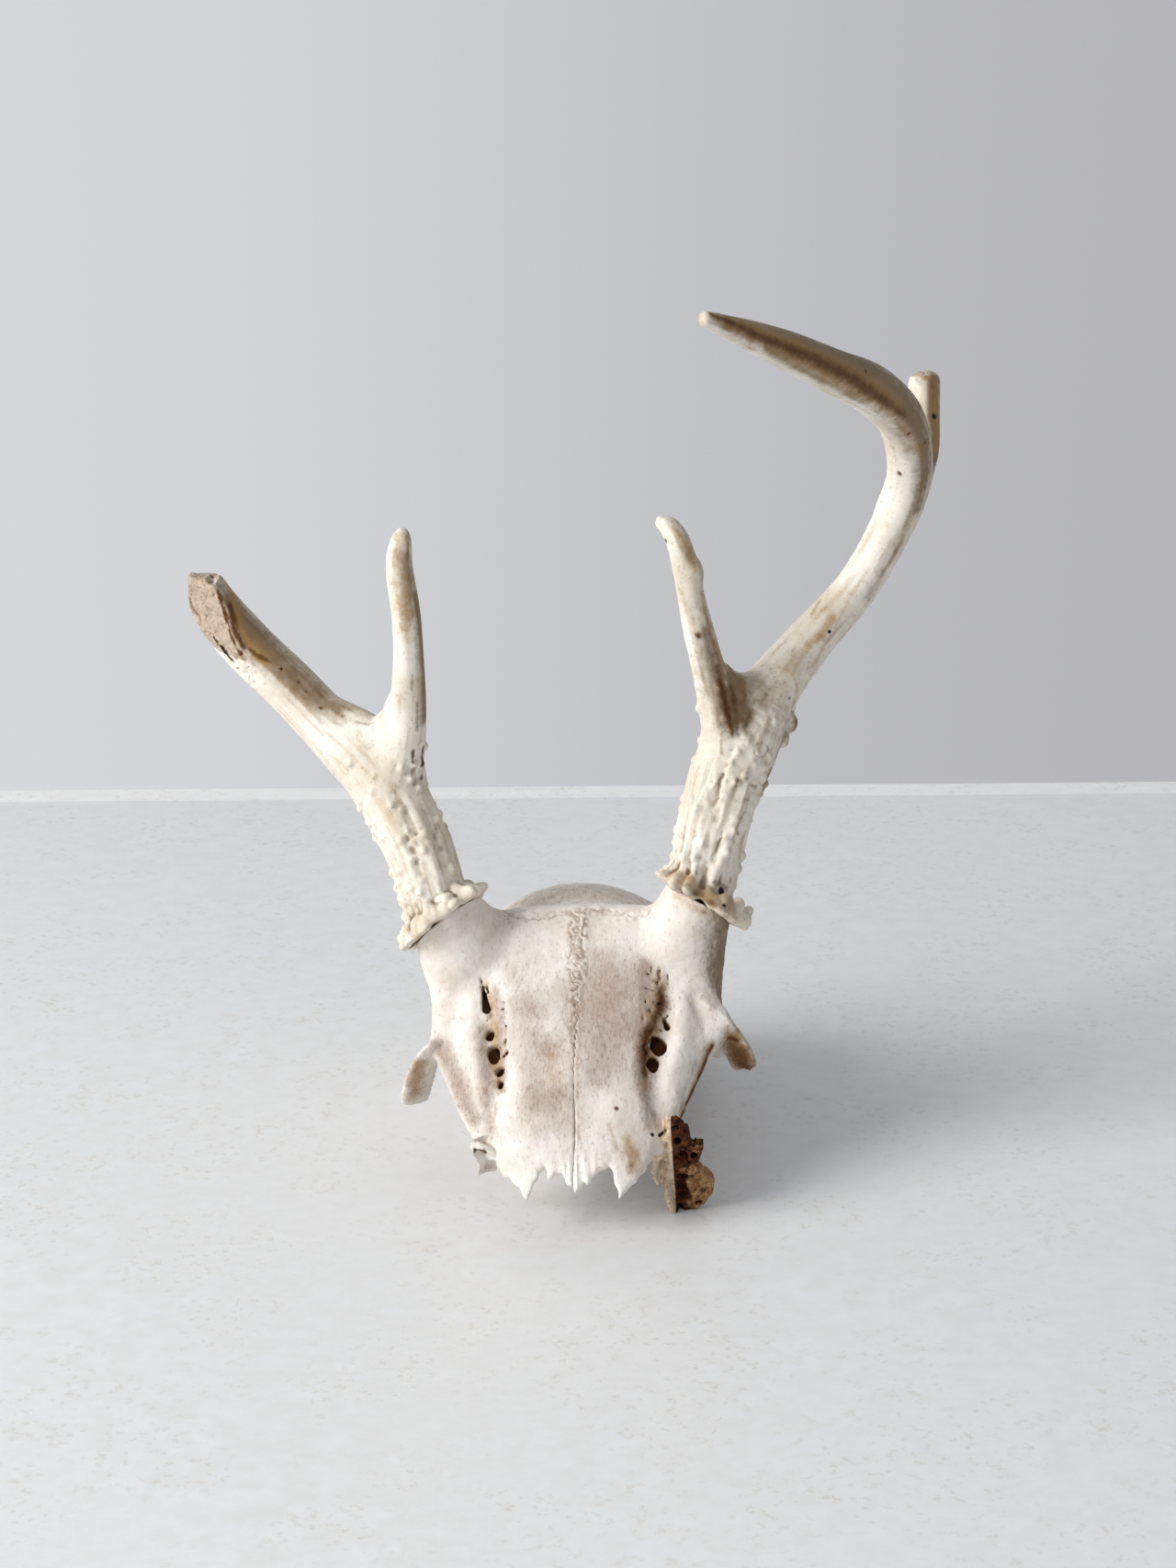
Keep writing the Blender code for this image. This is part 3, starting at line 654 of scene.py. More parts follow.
def antlerMaterial(name, finish):
    material, wires, shader = newMaterial(name)
    broad = wires.noise(20, 4, 0.6)
    mottle = wires.noise(3.6, 5, 0.65, shift=2.3)
    grit = wires.noise(0.9, 4, 0.7, shift=5.1)
    colour = wires.mixed(broad.between(0.3, 0.65), finish["cream"], finish["white"])
    colour = wires.coat(colour, "streak", finish["tan"], 0.1, 0.9, 0.35, (mottle, 0.8))
    freckle = (grit + (mottle - 0.5) * 0.5).between(0.56, 0.74)
    colour = wires.mixed(freckle * 0.36, colour, finish["umber"])
    # grey brown where faces turn from the key light and under the shade marks: painted shade, with the antler's own
    # weathering
    weatherAndShade = wires.number("weatherAndShade") + wires.number("shade") + (mottle - 0.5) * 0.7 + wires.number("streak") * 0.15
    colour = wires.mixed(weatherAndShade.between(0.1, 1.15) * 0.92, colour, finish["weatheredAndShaded"])
    colour = wires.coat(colour, "foot", finish["beige"], 0.25, 1.0, 0.3, (mottle, 0.8))
    # umber in creases and pits, browner by the burr: painted shade over the bark's own brown
    colour = wires.coat(colour, "hollow", finish["umber"], 0.05, 1.1, 0.75, (grit, 0.25), (mottle, 0.5))
    foot = wires.number("foot") * 0.5
    colour = wires.coat(colour, "hollow", finish["brown"], 0.05, 1.1, foot, (grit, 0.25), (mottle, 0.5))
    colour = wires.coat(colour, "tan", finish["tan"], 0.1, 1.1, 0.9, (mottle, 0.8), (grit, 0.3))
    broken = wires.mixed((grit * 0.6 + mottle * 0.4).between(0.47, 0.7), finish["core"], finish["umber"])
    colour = wires.coat(colour, "broken", broken, 0.3, 0.7, 1.0)
    colour = wires.coat(colour, "stain", finish["brown"], 0.15, 1.05, 1.0, (mottle, 0.5), (grit, 0.3))
    colour = wires.coat(colour, "dark", finish["dark"], 0.25, 0.8, 1.0, (grit, 0.2))
    dryFinish(wires, shader, finish, colour, mottle, grit * 0.5 + mottle * 0.6)
    return material


bone = boneMaterial("bone", boneFinish)
stained = stainedMaterial("stained bone", stainedFinish)
horn = antlerMaterial("antler", antlerFinish)

# the forehead is one bowed sheet of bone, broken off in front
forehead = {
    "middleHeight": 28.0, "middleSlope": 0.55, "bendFrom": 18.0, "bend": 0.0045, "crest": 42.0, "crestDrop": 0.075,
    "along": (-42, -28, -17, -8, 4, 16, 25, 35, 54),
    "halfWidth": (21, 24, 30, 36, 41, 44, 44, 45, 40),
    "fall": (4, 6, 10, 13, 16, 17, 16, 12, 11),
    "thick": 4.4, "thickAtBreak": 1.7,
    "grooveAlong": (-26, -19, -13, -5, 3, 10, 18, 26, 33),
    "grooveAt": (27.5, 26, 24.5, 23.2, 25, 26.7, 27.6, 29, 30),
    "grooveDeep": (0, 0.7, 1.6, 3.0, 3.6, 3.4, 2.6, 0.9, 0), "grooveInside": 2.4, "grooveOutside": 4.6,
    "ridge": 1.2, "panel": 0.7, "keel": 0.3, "swell": 0.7, "lips": 0.22, "fibres": 0.3,
    "ragged": ((0.35, 1.6, 5), (0.2, 0.8, 6)),
}

# the broken edge and the rims of the eye sockets, seen along the skull's up axis
foreheadOutline = [
    (-28.8, -16.5), (-27.0, -19.5), (-24.5, -24), (-22.3, -30), (-19.7, -31.8), (-13.9, -40), (-11.8, -35.5),
    (-10.4, -32.7), (-8.5, -31.1), (-7.9, -34.8), (-5.6, -33.2), (-3.6, -32.9), (-2.4, -36.2), (-1, -36.6),
    (0.2, -38.6), (1.6, -38.2), (3.3, -36), (4.2, -36.2), (5.2, -34.9), (6.2, -33.6), (7.9, -31.8), (10.9, -30.4),
    (13.6, -40), (15.6, -37.6), (17.8, -34.9), (21.6, -28.9), (23.4, -24), (25.4, -18.6), (27.8, -15.5), (30.2, -9.9),
    (35.6, 2.3), (39.4, 11), (42.6, 24), (44, 36), (40, 54), (-40, 54), (-45, 36), (-44.5, 24), (-42.4, 10),
    (-35.4, -6), (-30.8, -14),
]


def reading(value, stations, values):
    # smooth reading of a value along stations
    stations, values = np.array(stations, float), np.array(values, float)
    slopes = np.gradient(values, stations)
    fine = np.linspace(stations[0], stations[-1], 500)
    k = np.clip(np.searchsorted(stations, fine, side="right") - 1, 0, len(stations) - 2)
    span = stations[k + 1] - stations[k]
    t = (fine - stations[k]) / span
    curve = (values[k] * (1 + 2 * t) * (1 - t) ** 2 + slopes[k] * span * t * (1 - t) ** 2
             + values[k + 1] * t**2 * (3 - 2 * t) + slopes[k + 1] * span * t**2 * (t - 1))
    return np.interp(value, fine, curve)


def seamSway(y):
    # how far the joint between the two frontal bones wanders to the side of the midline
    wide = reading(y, (-45, -10, -6, 4, 14, 24, 34, 44), (0.05, 0.08, 0.2, 0.45, 0.8, 1.4, 2.1, 2.0))
    loops = 0.75 * np.sin(2.35 * y + 1.6 * np.sin(0.37 * y)) + 0.25 * np.sin(4.7 * y + 2.0 * np.sin(0.61 * y))
    return wide * loops + 0.25 * np.sin(0.21 * y)


def foreheadHeight(x, y):
    f = forehead
    half = reading(y, f["along"], f["halfWidth"])
    share = np.minimum(np.abs(x) / half, 1.3)
    fall = reading(y, f["along"], f["fall"]) * (0.15 * share**2 + 0.85 * share**4)
    height = f["middleHeight"] + f["middleSlope"] * y - f["bend"] * np.maximum(y - f["bendFrom"], 0) ** 2 - fall
    height = height - f["crestDrop"] * np.maximum(y - f["crest"], 0) ** 2
    off = np.abs(x) - reading(y, f["grooveAlong"], f["grooveAt"])
    deep = reading(y, f["grooveAlong"], f["grooveDeep"])
    valley = np.where(off < 0, bell(off, f["grooveInside"]), bell(off, f["grooveOutside"]))
    ridge = f["ridge"] * bell(off - 6.0, 4.2) * ramp(y, -16, -2) * ramp(y, 34, 20)
    panel = f["panel"] * bell(np.abs(x) - 13, 8) * ramp(y, -34, -8) * ramp(y, 34, 14)
    middle = f["keel"] * bell(x, 2.6) * ramp(y, 2, 26) + f["swell"] * bell(x, 5) * bell(y - 37, 6)
    middle = middle * ramp(y, 50, 42)
    lips = f["lips"] * bell(np.abs(x - seamSway(y)) - 0.75, 0.45) * ramp(y, -10, 0) * ramp(y, 48, 42)
    splinters = np.sin(2.6 * x + 1.1 * np.sin(0.7 * x + 0.4) + 0.25 * y) + 0.5 * np.sin(5.3 * x + 0.3 * y)
    fibres = f["fibres"] * splinters * bell(x - 1, 6.5) * ramp(y, -25, -34)
    return height - deep * valley + ridge + panel + middle + lips + fibres


def foreheadSheet():
    f = forehead

    def distance(x, y, z):
        flatX, flatY = x[..., 0] + 0 * y[..., 0], y[..., 0] + 0 * x[..., 0]
        height = foreheadHeight(flatX, flatY)
        step = abs(float(flatX[1, 0] - flatX[0, 0]))
        acrossSlope, alongSlope = np.gradient(height, step)
        steep = np.sqrt(1 + acrossSlope**2 + alongSlope**2)[..., None]
        thick = f["thickAtBreak"] + (f["thick"] - f["thickAtBreak"]) * ramp(flatY, -40, -14)
        ragged = grains(flatX, flatY, 0, f["ragged"])
        side = outlineDistance(flatX, flatY, foreheadOutline) + ragged * ramp(flatY, -20, -26)
        top = (z - height[..., None]) / steep
        bottom = (height[..., None] - thick[..., None] - z) / steep
        slab = -joined(-top, -bottom, 1.2)
        return -joined(-slab, -side[..., None], 1.4)

    return (-50, -42, -4), (50, 56, 60), distance


# the rest of the skull is lumps that flow together
skullLumps = {
    "middle": [((-3.2, 57, 8), (38.2, 40, 32), {"pitch": -22}), ((0, 62, -6), (30, 36, 24), {}),
               ((0, 44, 31), (30, 15, 13), {"pitch": -10}), ((0, 8, 10), (20, 30, 21), {"pitch": 28}),
               ((0, 30, -8), (11, 30, 19), {"pitch": 8}), ((0, 84, -10), (31, 11, 24), {"pitch": -8})],
    "pairs": [((21, 61, -29), (8, 12, 11), {"yaw": -12}), ((12.5, 97, -28), (8.5, 7.3, 12), {"bank": -18}),
              ((30, 78, -4), (9, 10, 17), {"bank": 8})],
    "hollowPairs": [((42, -3, -4), (21, 19, 19.5), {"yaw": -8}), ((46, 26, 0), (20, 20, 24), {"yaw": -6}),
                    ((41, 71, -10), (9, 2.2, 2.2), {"bank": -25})],
    "hollows": [((0, -30, -2), (14.5, 34, 17), {"pitch": 24}), ((0, 100, -25), (10.5, 24, 8.5), {"pitch": -8})],
}

skullBars = {
    "pairs": [[(30, 80, -8, 7), (29, 86, -28, 6), (28.5, 88, -43, 4.6), (28.5, 88, -57, 3.4)],
              [(32, 56, -8, 6), (39, 48, -8, 5), (43, 40, -9, 3.6)],
              [(24, 68, -20, 5), (36, 70, -12, 4.6)],
              [(11, 20, -12, 3.2), (12, 28, -22, 3.0), (12.5, 33, -38, 3.0)]],
    "middle": [[(-34, 76, -6, 4), (-26, 86, 6, 4), (-10, 92, 12, 4.4), (10, 92, 12, 4.4), (26, 86, 6, 4),
                (34, 76, -6, 4)],
               [(0, 34, -20, 7), (0, 60, -26, 9), (0, 84, -31, 10)]],
    "left": [[(24.4, -18.5, 6.8, 1.8), (29.0, -8, 11.2, 2.3), (33.8, 4, 15.4, 2.4), (38.4, 15, 18.2, 2.8)],
             [(28.6, 38, 22, 11.4), (30.8, 38, 36, 11.4), (34.8, 40, 46, 11.2)],
             [(41.6, 16, 21.5, 3.5), (38.6, 26, 29, 4.4), (35.2, 35, 38, 8.0)]],
    "right": [[(-26.4, -18.5, 6.8, 1.8), (-32.4, -8, 10.8, 2.3), (-37.8, 4, 14.6, 2.6), (-41.8, 15, 17.6, 3.2)],
              [(-30, 38, 22, 13), (-34, 38, 36, 13.2), (-37.5, 39, 45, 12.3)],
              [(-42, 16, 21.5, 3.7), (-41, 26, 29, 5), (-39, 35, 38, 9)]],
}

# where the holes in the two grooves open: x, y, radius and depth, with a second spot where one is drawn out
grooveHoles = [
    ((-25.9, 4.8, 1.7), (-25.3, 2.6, 1.5), 18), ((-23.5, -1.4, 1.15), (-23.4, -1.8, 1.1), 18),
    ((-23.2, -4.8, 0.8), (-23.2, -6.0, 0.8), 18), ((-26.9, 10.2, 1.3), (-26.9, 9.2, 1.1), 3.5),
    ((-29.8, 24.0, 0.5), (-28.2, 17.0, 1.3), 3.5), ((24.9, 5.5, 2.35), (24.9, 4.9, 2.35), 18),
    ((23.6, 0.6, 1.4), (23.1, -1.1, 1.5), 14), ((26.6, 13.2, 0.5), (27.8, 11.0, 0.8), 4),
]

# soft bone that shows as lace: a place on the forehead, its half axes and how open it is
spongyPatches = [
    ((24.8, 18.0), (4.8, 9.5, 4.4), 0.12), ((-23.0, 9.5), (2.4, 9.0, 3.0), 0.12), ((22.0, 7.0), (2.4, 6.5, 2.4), 0.14),
    ((-28.6, 19.0), (1.8, 5.5, 3.4), 0.0), ((-22.0, 1.0), (1.8, 3.5, 2.4), 0.1),
]


# how wide the creases between the parts are filled
skullBlends = {"lumps": 3.0, "sockets": 1.5, "hollows": 1.0, "forehead": 4.0, "arches": 5.0, "eyeBars": (4.5, 2.5),
               "beds": 1.5}


def twins(at, radii, turns):
    # a lump and its mirror image
    x, y, z = at
    back = {name: angle if name == "pitch" else -angle for name, angle in turns.items()}
    return egg(at, radii, **turns), egg((-x, y, z), radii, **back)


def fillSkull(block):
    lumps, arches = skullBlends["lumps"], skullBlends["arches"]
    for lump in skullLumps["middle"]:
        block.add(egg(*lump[:2], **lump[2]), lumps)
    for lump in skullLumps["pairs"]:
        for shape in twins(*lump):
            block.add(shape, lumps)
    for bar in skullBars["pairs"]:
        block.addPath(bar, lumps)
        block.addPath([(-x, y, z, r) for x, y, z, r in bar], lumps)
    for bar in skullBars["middle"]:
        block.addPath(bar, lumps)
    for hollow in skullLumps["hollowPairs"]:
        for shape in twins(*hollow):
            block.cut(shape, skullBlends["sockets"])
    for hollow in skullLumps["hollows"]:
        block.cut(egg(*hollow[:2], **hollow[2]), skullBlends["hollows"])
    block.add(foreheadSheet(), skullBlends["forehead"])
    for bar in skullBars["left"] + skullBars["right"]:
        block.addPath(bar, arches)


def cutFloor(block):
    block.trim(..., -(pastPlane((0, 0, 0), skullTurn[2], *block.everywhere()) + skullAt[2]))


# where each antler grows: the middle of its burr, the way it stands, and its pedicle from root to top
burrs = {
    "left": {"at": shifted((37.6, 44, 85.2)), "axis": (0.50, 0.30, 0.81), "radius": 12.9,
             "root": (31.9, 39, 38), "top": shifted((36.4, 44, 85)), "pedicle": (11.0, 10.6, 10.2, 10.4)},
    "right": {"at": shifted((-41.6, 44, 79)), "axis": (-0.60, 0.33, 0.72), "radius": 12.3,
              "root": (-36, 39, 38), "top": shifted((-40.7, 44, 79)), "pedicle": (12.6, 11.3, 10.3, 10.5)},
}


def addPedicles(block):
    for burr in burrs.values():
        root, top, at = np.array(burr["root"]), toSkull(burr["top"]), toSkull(burr["at"])
        end = top + 6 * (top - root) / np.linalg.norm(top - root)
        spots = (root, (root + top) / 2, top, end)
        block.addPath([(*spot, radius) for spot, radius in zip(spots, burr["pedicle"])], skullBlends["arches"])
        part, *places = block.around(at, 24)
        block.trim(part, pastPlane(at, unit(np.array(burr["axis"]) @ skullTurn), *places) + 0.1)


# what is left of the bars behind the eyes: the outline of the left one, and a squashed bar on the right
eyeBars = {
    "left": [(37, 19), (41.8, 20.0), (43.6, 17.4), (44.9, 12.0), (46.6, 7.4), (48.2, 6.3), (50.2, 7.2), (52.2, 6.4),
             (54.4, 9.2), (53.2, 14.4), (51.2, 18.6), (48.4, 23.2), (45.4, 27.4), (38, 30)],
    "leftAt": 15, "leftThick": 2.6, "leftBow": 0.035, "leftMiddle": 49,
    "right": [(-43.5, 13, 22.0, 3.6), (-47.6, 14, 16.0, 4.6), (-51.0, 14, 7.0, 6.0), (-53.6, 14, -2.0, 5.6)],
    "acrossRight": (0.72, 0.58, -0.38), "flatness": 3.4,
    "rightBreak": {"at": (-52.5, 14, -3.8), "away": (-0.45, -0.1, -1), "reach": 8, "rough": 0.5, "size": 1.5,
                   "seed": 32},
}


def addEyeBars(block):
    def bow(across, up):
        off = eyeBars["leftMiddle"] - across
        return 1.0 + eyeBars["leftBow"] * off * np.abs(off) + 0.008 * (up - 14) ** 2

    left, right = skullBlends["eyeBars"]
    block.add(plate(eyeBars["left"], eyeBars["leftThick"], eyeBars["leftAt"], bow), left)
    block.addPath(eyeBars["right"], right, shape=flatBar(eyeBars["acrossRight"], eyeBars["flatness"]))
    cutEnd(block, **eyeBars["rightBreak"])


def cutEnd(block, at, away, reach, rough, size, seed):
    # a ragged break across whatever passes this place
    part, x, y, z = block.around(at, reach)
    layers = ((rough, size, seed), (0.4 * rough, size / 2.3, seed + 1))
    beyond = grains(x, y, z, layers, pastPlane(at, unit(away), x, y, z))
    near = (x - at[0]) ** 2 + (y - at[1]) ** 2 + (z - at[2]) ** 2 < reach**2
    block.trim(part, np.where(near, beyond, -emptySpace), 0.5)


def addGrooveHoles(block):
    for first, second, depth in grooveHoles:
        for share in (0.0, 0.2, 0.4, 0.6, 0.8, 1.0):
            x, y, r = (a + (b - a) * share for a, b in zip(first, second))
            top = float(foreheadHeight(x, y))
            low = (x - 0.045 * depth * np.sign(x), y + 0.3 * depth, top - depth, r * 1.1)
            block.addPath([(x, y, top + 3, r * 1.05), low], 0.5, cut=True, steps=1)


# bone deep under the holes of the grooves: each place is how far back, how far out and the radius
grooveBeds = {
    "under": 5.5, "behind": 4,
    "beds": [[(15, 27, 3.2), (9, 26, 3.6), (3, 24.6, 3.6), (-3, 23.4, 3.2), (-8, 22.4, 2.6)],
             [(15, -28, 3.2), (9, -27.4, 3.6), (3, -25.6, 3.6), (-3, -23.6, 3.2), (-9, -22.8, 2.6)]],
}


def addGrooveBeds(block):
    under, behind = grooveBeds["under"], grooveBeds["behind"]
    for bed in grooveBeds["beds"]:
        block.addPath([(x, y + behind, float(foreheadHeight(x, y)) - under, r) for y, x, r in bed],
                      skullBlends["beds"])


def addSponge(block):
    # a lace of fine canals, opened where the outer bone is gone
    for (cx, cy), (rx, ry, deep), openness in spongyPatches:
        top = float(foreheadHeight(cx, cy))
        low, high = (cx - rx - 1, cy - ry - 1, top - ry - 6), (cx + rx + 1, cy + ry + 1, top + ry + 4)
        part, x, y, z = block.window(low, high, 0)
        if not block.distance[part].size:
            continue
        depth = top + forehead["middleSlope"] * (y - cy) - z
        patch = ((x - cx) / rx) ** 2 + ((y - cy) / ry) ** 2 + ((depth - 0.3 * deep) / (deep + 1.2)) ** 2
        canals = canalField(x, y / 1.5, z, 1.7, 1.5, 41) - 0.24 + openness * 0.3
        block.trim(part, -np.maximum(canals * 1.6, (np.sqrt(patch) - 1) * min(rx, deep)))


def skullBlock(low, high, voxel):
    block = Block(low, high, voxel)
    fillSkull(block)
    addPedicles(block)
    addEyeBars(block)
    addGrooveHoles(block)
    addGrooveBeds(block)
    addSponge(block)
    cutFloor(block)
    return block


# how the bones of the skull part from each other: gaps, and where the joints run
seams = {
    "gap": 0.02, "rounding": 0.1, "crackWide": 0.3, "crackEnds": -14.0, "crown": 42.6, "crownSides": 13.5, "nape": 81,
    "side": 17, "temple": 15,
}


def midSeam(x, y, z):
    # distance to the joint between the frontal bones, positive on the animal's left
    steep = np.sqrt(1 + ((seamSway(y + 0.05) - seamSway(y - 0.05)) / 0.1) ** 2)
    return (x - seamSway(y)) / steep


def midGap(y):
    # the joint opens to a crack towards the break
    end = seams["crackEnds"]
    return seams["gap"] + (seams["crackWide"] - seams["gap"]) * ramp(y, end + 1.5, end - 3)


def crownSeam(x, y, z):
    # distance to the joint behind the frontal bones, positive behind it
    turns = 0.4 * np.sin(1.7 * x + 1.3 * np.sin(0.5 * x)) + 0.15 * np.sin(3.9 * x + 1.2) + 1.6 * np.sin(0.19 * x + 0.6)
    line = seams["crown"] + turns * ramp(np.abs(x), 34, 22)
    line = line + seams["crownSides"] * ramp(np.abs(x), 21, 31) * ramp(z, 4, 24)
    return (y - line) / 1.6


def napeSeam(x, y, z):
    # positive behind the joint between the crown and the nape
    return y - seams["nape"] - 0.1 * z + 0.5 * np.sin(1.1 * x) + 0.3 * np.sin(2.7 * x + z)


def sideSeam(x, y, z):
    # positive above the joint between the crown and the sides
    return z - seams["side"] + 0.1 * (y - 60) + 0.5 * np.sin(0.9 * y) + 0.25 * np.sin(2.3 * y + x)


def templeSeam(sign):
    # positive outside the joint between one side and the base
    return lambda x, y, z: sign * x - seams["temple"] + 0.4 * np.sin(0.8 * y)


def carved(block, keeps):
    # the part of a block on one side of each seam
    x, y, z = block.everywhere()
    distance = block.distance
    for seam, sign, gap in keeps:
        width = gap(y) if callable(gap) else gap
        beyond = (seam(x, y, z) * -sign + width / 2).astype(np.float32)
        distance = -joined(-distance, -np.broadcast_to(beyond, distance.shape), seams["rounding"])
    return block.surface(distance)


# the bone's fine relief, how far hollows are looked for, and what colours its grooves: kind of mark, strength, and
# the depths where it starts and is full; the darkest, deepest in the holes, is painted shade
boneRelief = {
    "layers": ((0.10, 1.9, 51), (0.07, 0.95, 52), (0.16, 6.0, 53)), "curls": 0.2, "hollow": (5, 0.2),
    "grooves": (("tan", 0.8, 0.2, 1.2), ("stain", 0.95, 1.1, 3.0), ("dark", 0.15, 5.0, 11.0)),
    "teeth": 0.7, "dome": 0.55,
}


def boneNumbers(mesh, points, strokes, tree):
    # what the bone finish reads, and the last fine relief
    x, y, z = points.T
    above = ramp(meshNormals(mesh)[:, 2], -0.1, 0.5)
    # the curled joints: a band down the middle of the forehead and one across the crown
    middle = ramp(np.abs(x - 0.4), 4.0, 2.6) * ramp(y, 14, 26) + ramp(np.abs(x), 2.4, 1.2) * ramp(y, -8, 4)
    crown = 0.5 * ramp(np.abs(y - 42.5 - 1.2 * np.sin(0.3 * x)), 2.8, 1.4) * ramp(np.abs(x), 27, 22)
    band = np.clip(middle * ramp(y, 44, 40) + crown, 0, 1) * above
    curls = np.sin(8.5 * grain(x, y * 0.8, 0.3 * z, 2.6, 57) + 2.5 * grain(x, y, z, 1.5, 58))
    pushed(mesh, grains(x, y, z, boneRelief["layers"]) + boneRelief["curls"] * curls * band)
    settle(mesh)
    normals = meshNormals(mesh)
    addNumbers(mesh, "hollow", hollowness(mesh, *boneRelief["hollow"]))
    addNumbers(mesh, "seam", ramp(curls, -0.1, -0.8) * band)
    addVectors(mesh, "skullPlace", points)
    masks = paintStrokes(mesh, strokes, tree)
    # brown inside the holes and pores of the grooves, and painted shade deep down in the holes
    deep = foreheadHeight(x, y) - z
    inGroove = ramp(np.abs(x), 19, 21.5) * ramp(np.abs(x), 34, 32) * ramp(y, -14, -10) * ramp(y, 30, 26) * (z > 2)
    for kind, strength, start, full in boneRelief["grooves"]:
        addNumbers(mesh, kind, np.maximum(masks[kind], strength * ramp(deep, start, full) * inGroove))
    # the lilac blush of the forehead and painted shade on the dome; the shade marks are added below as painted shade
    blushAndShade = 0.5 * bell(np.hypot(x / 1.3, (y - 8) / 1.6), 15) + 0.35 * bell(x - 13, 9) * bell(y - 12, 16)
    blushAndShade = blushAndShade + 0.1 * ramp(y, 44, 50) + 0.2 * grain(x, y, z, 7, 54)
    addNumbers(mesh, "blushAndShade", np.clip(blushAndShade, 0, 1) * above + masks["shade"])
    # the skull's left side by the pedicle, turned from the key light, is marked grey brown: painted shade over the
    # brownish bone there
    shadedLeftSide = ramp(normals[:, 0] - 0.2 * normals[:, 1], 0.4, 1.0)
    addNumbers(mesh, "weatherAndShade", shadedLeftSide * ramp(x, 8, 24) * ramp(y, 12, 24))
    # the teeth and the dome painted whiter: fresh white on the teeth, painted light on both
    teeth = boneRelief["teeth"] * ramp(y, -26, -36) * ramp(np.abs(x), 24, 18)
    addNumbers(mesh, "freshAndLit", teeth + boneRelief["dome"] * ramp(y, 45, 52) * ramp(z, 20, 30))


# the skull is filled in two blocks of space: lowest corner, highest corner and voxel
skullSpace = {"front": ((-62, -42, -46), (62, 60, 74), 0.45), "rear": ((-50, 34, -62), (50, 112, 66), 0.6)}


def makeBones(strokes):
    gap = seams["gap"]
    front = skullBlock(*skullSpace["front"])
    print("front of the skull filled")
    pieces = {"frontal_" + side: carved(front, [(midSeam, sign, midGap), (crownSeam, -1, gap)])
              for side, sign in (("left", 1), ("right", -1))}
    del front
    rear = skullBlock(*skullSpace["rear"])
    fore, lower = [(crownSeam, 1, gap), (napeSeam, -1, gap)], (sideSeam, -1, gap)
    for name, keeps in (("occipital", [fore[0], (napeSeam, 1, gap)]), ("parietal", [*fore, (sideSeam, 1, gap)]),
                        ("temporal_left", [*fore, lower, (templeSeam(1), 1, gap)]),
                        ("temporal_right", [*fore, lower, (templeSeam(-1), 1, gap)]),
                        ("sphenoid", [*fore, lower, (templeSeam(1), -1, gap), (templeSeam(-1), -1, gap)])):
        pieces[name] = carved(rear, keeps)
    print("rear of the skull filled")
    tree = surfaceTree([(toFrame(points), quads) for points, quads in pieces.values()])
    for name, (points, quads) in pieces.items():
        mesh = meshFrom(name, toFrame(points), quads)
        boneNumbers(mesh, points, strokes.get(name.split("_")[0], {}), tree)
        finishPiece(name + "_bone", mesh, [name], bone)


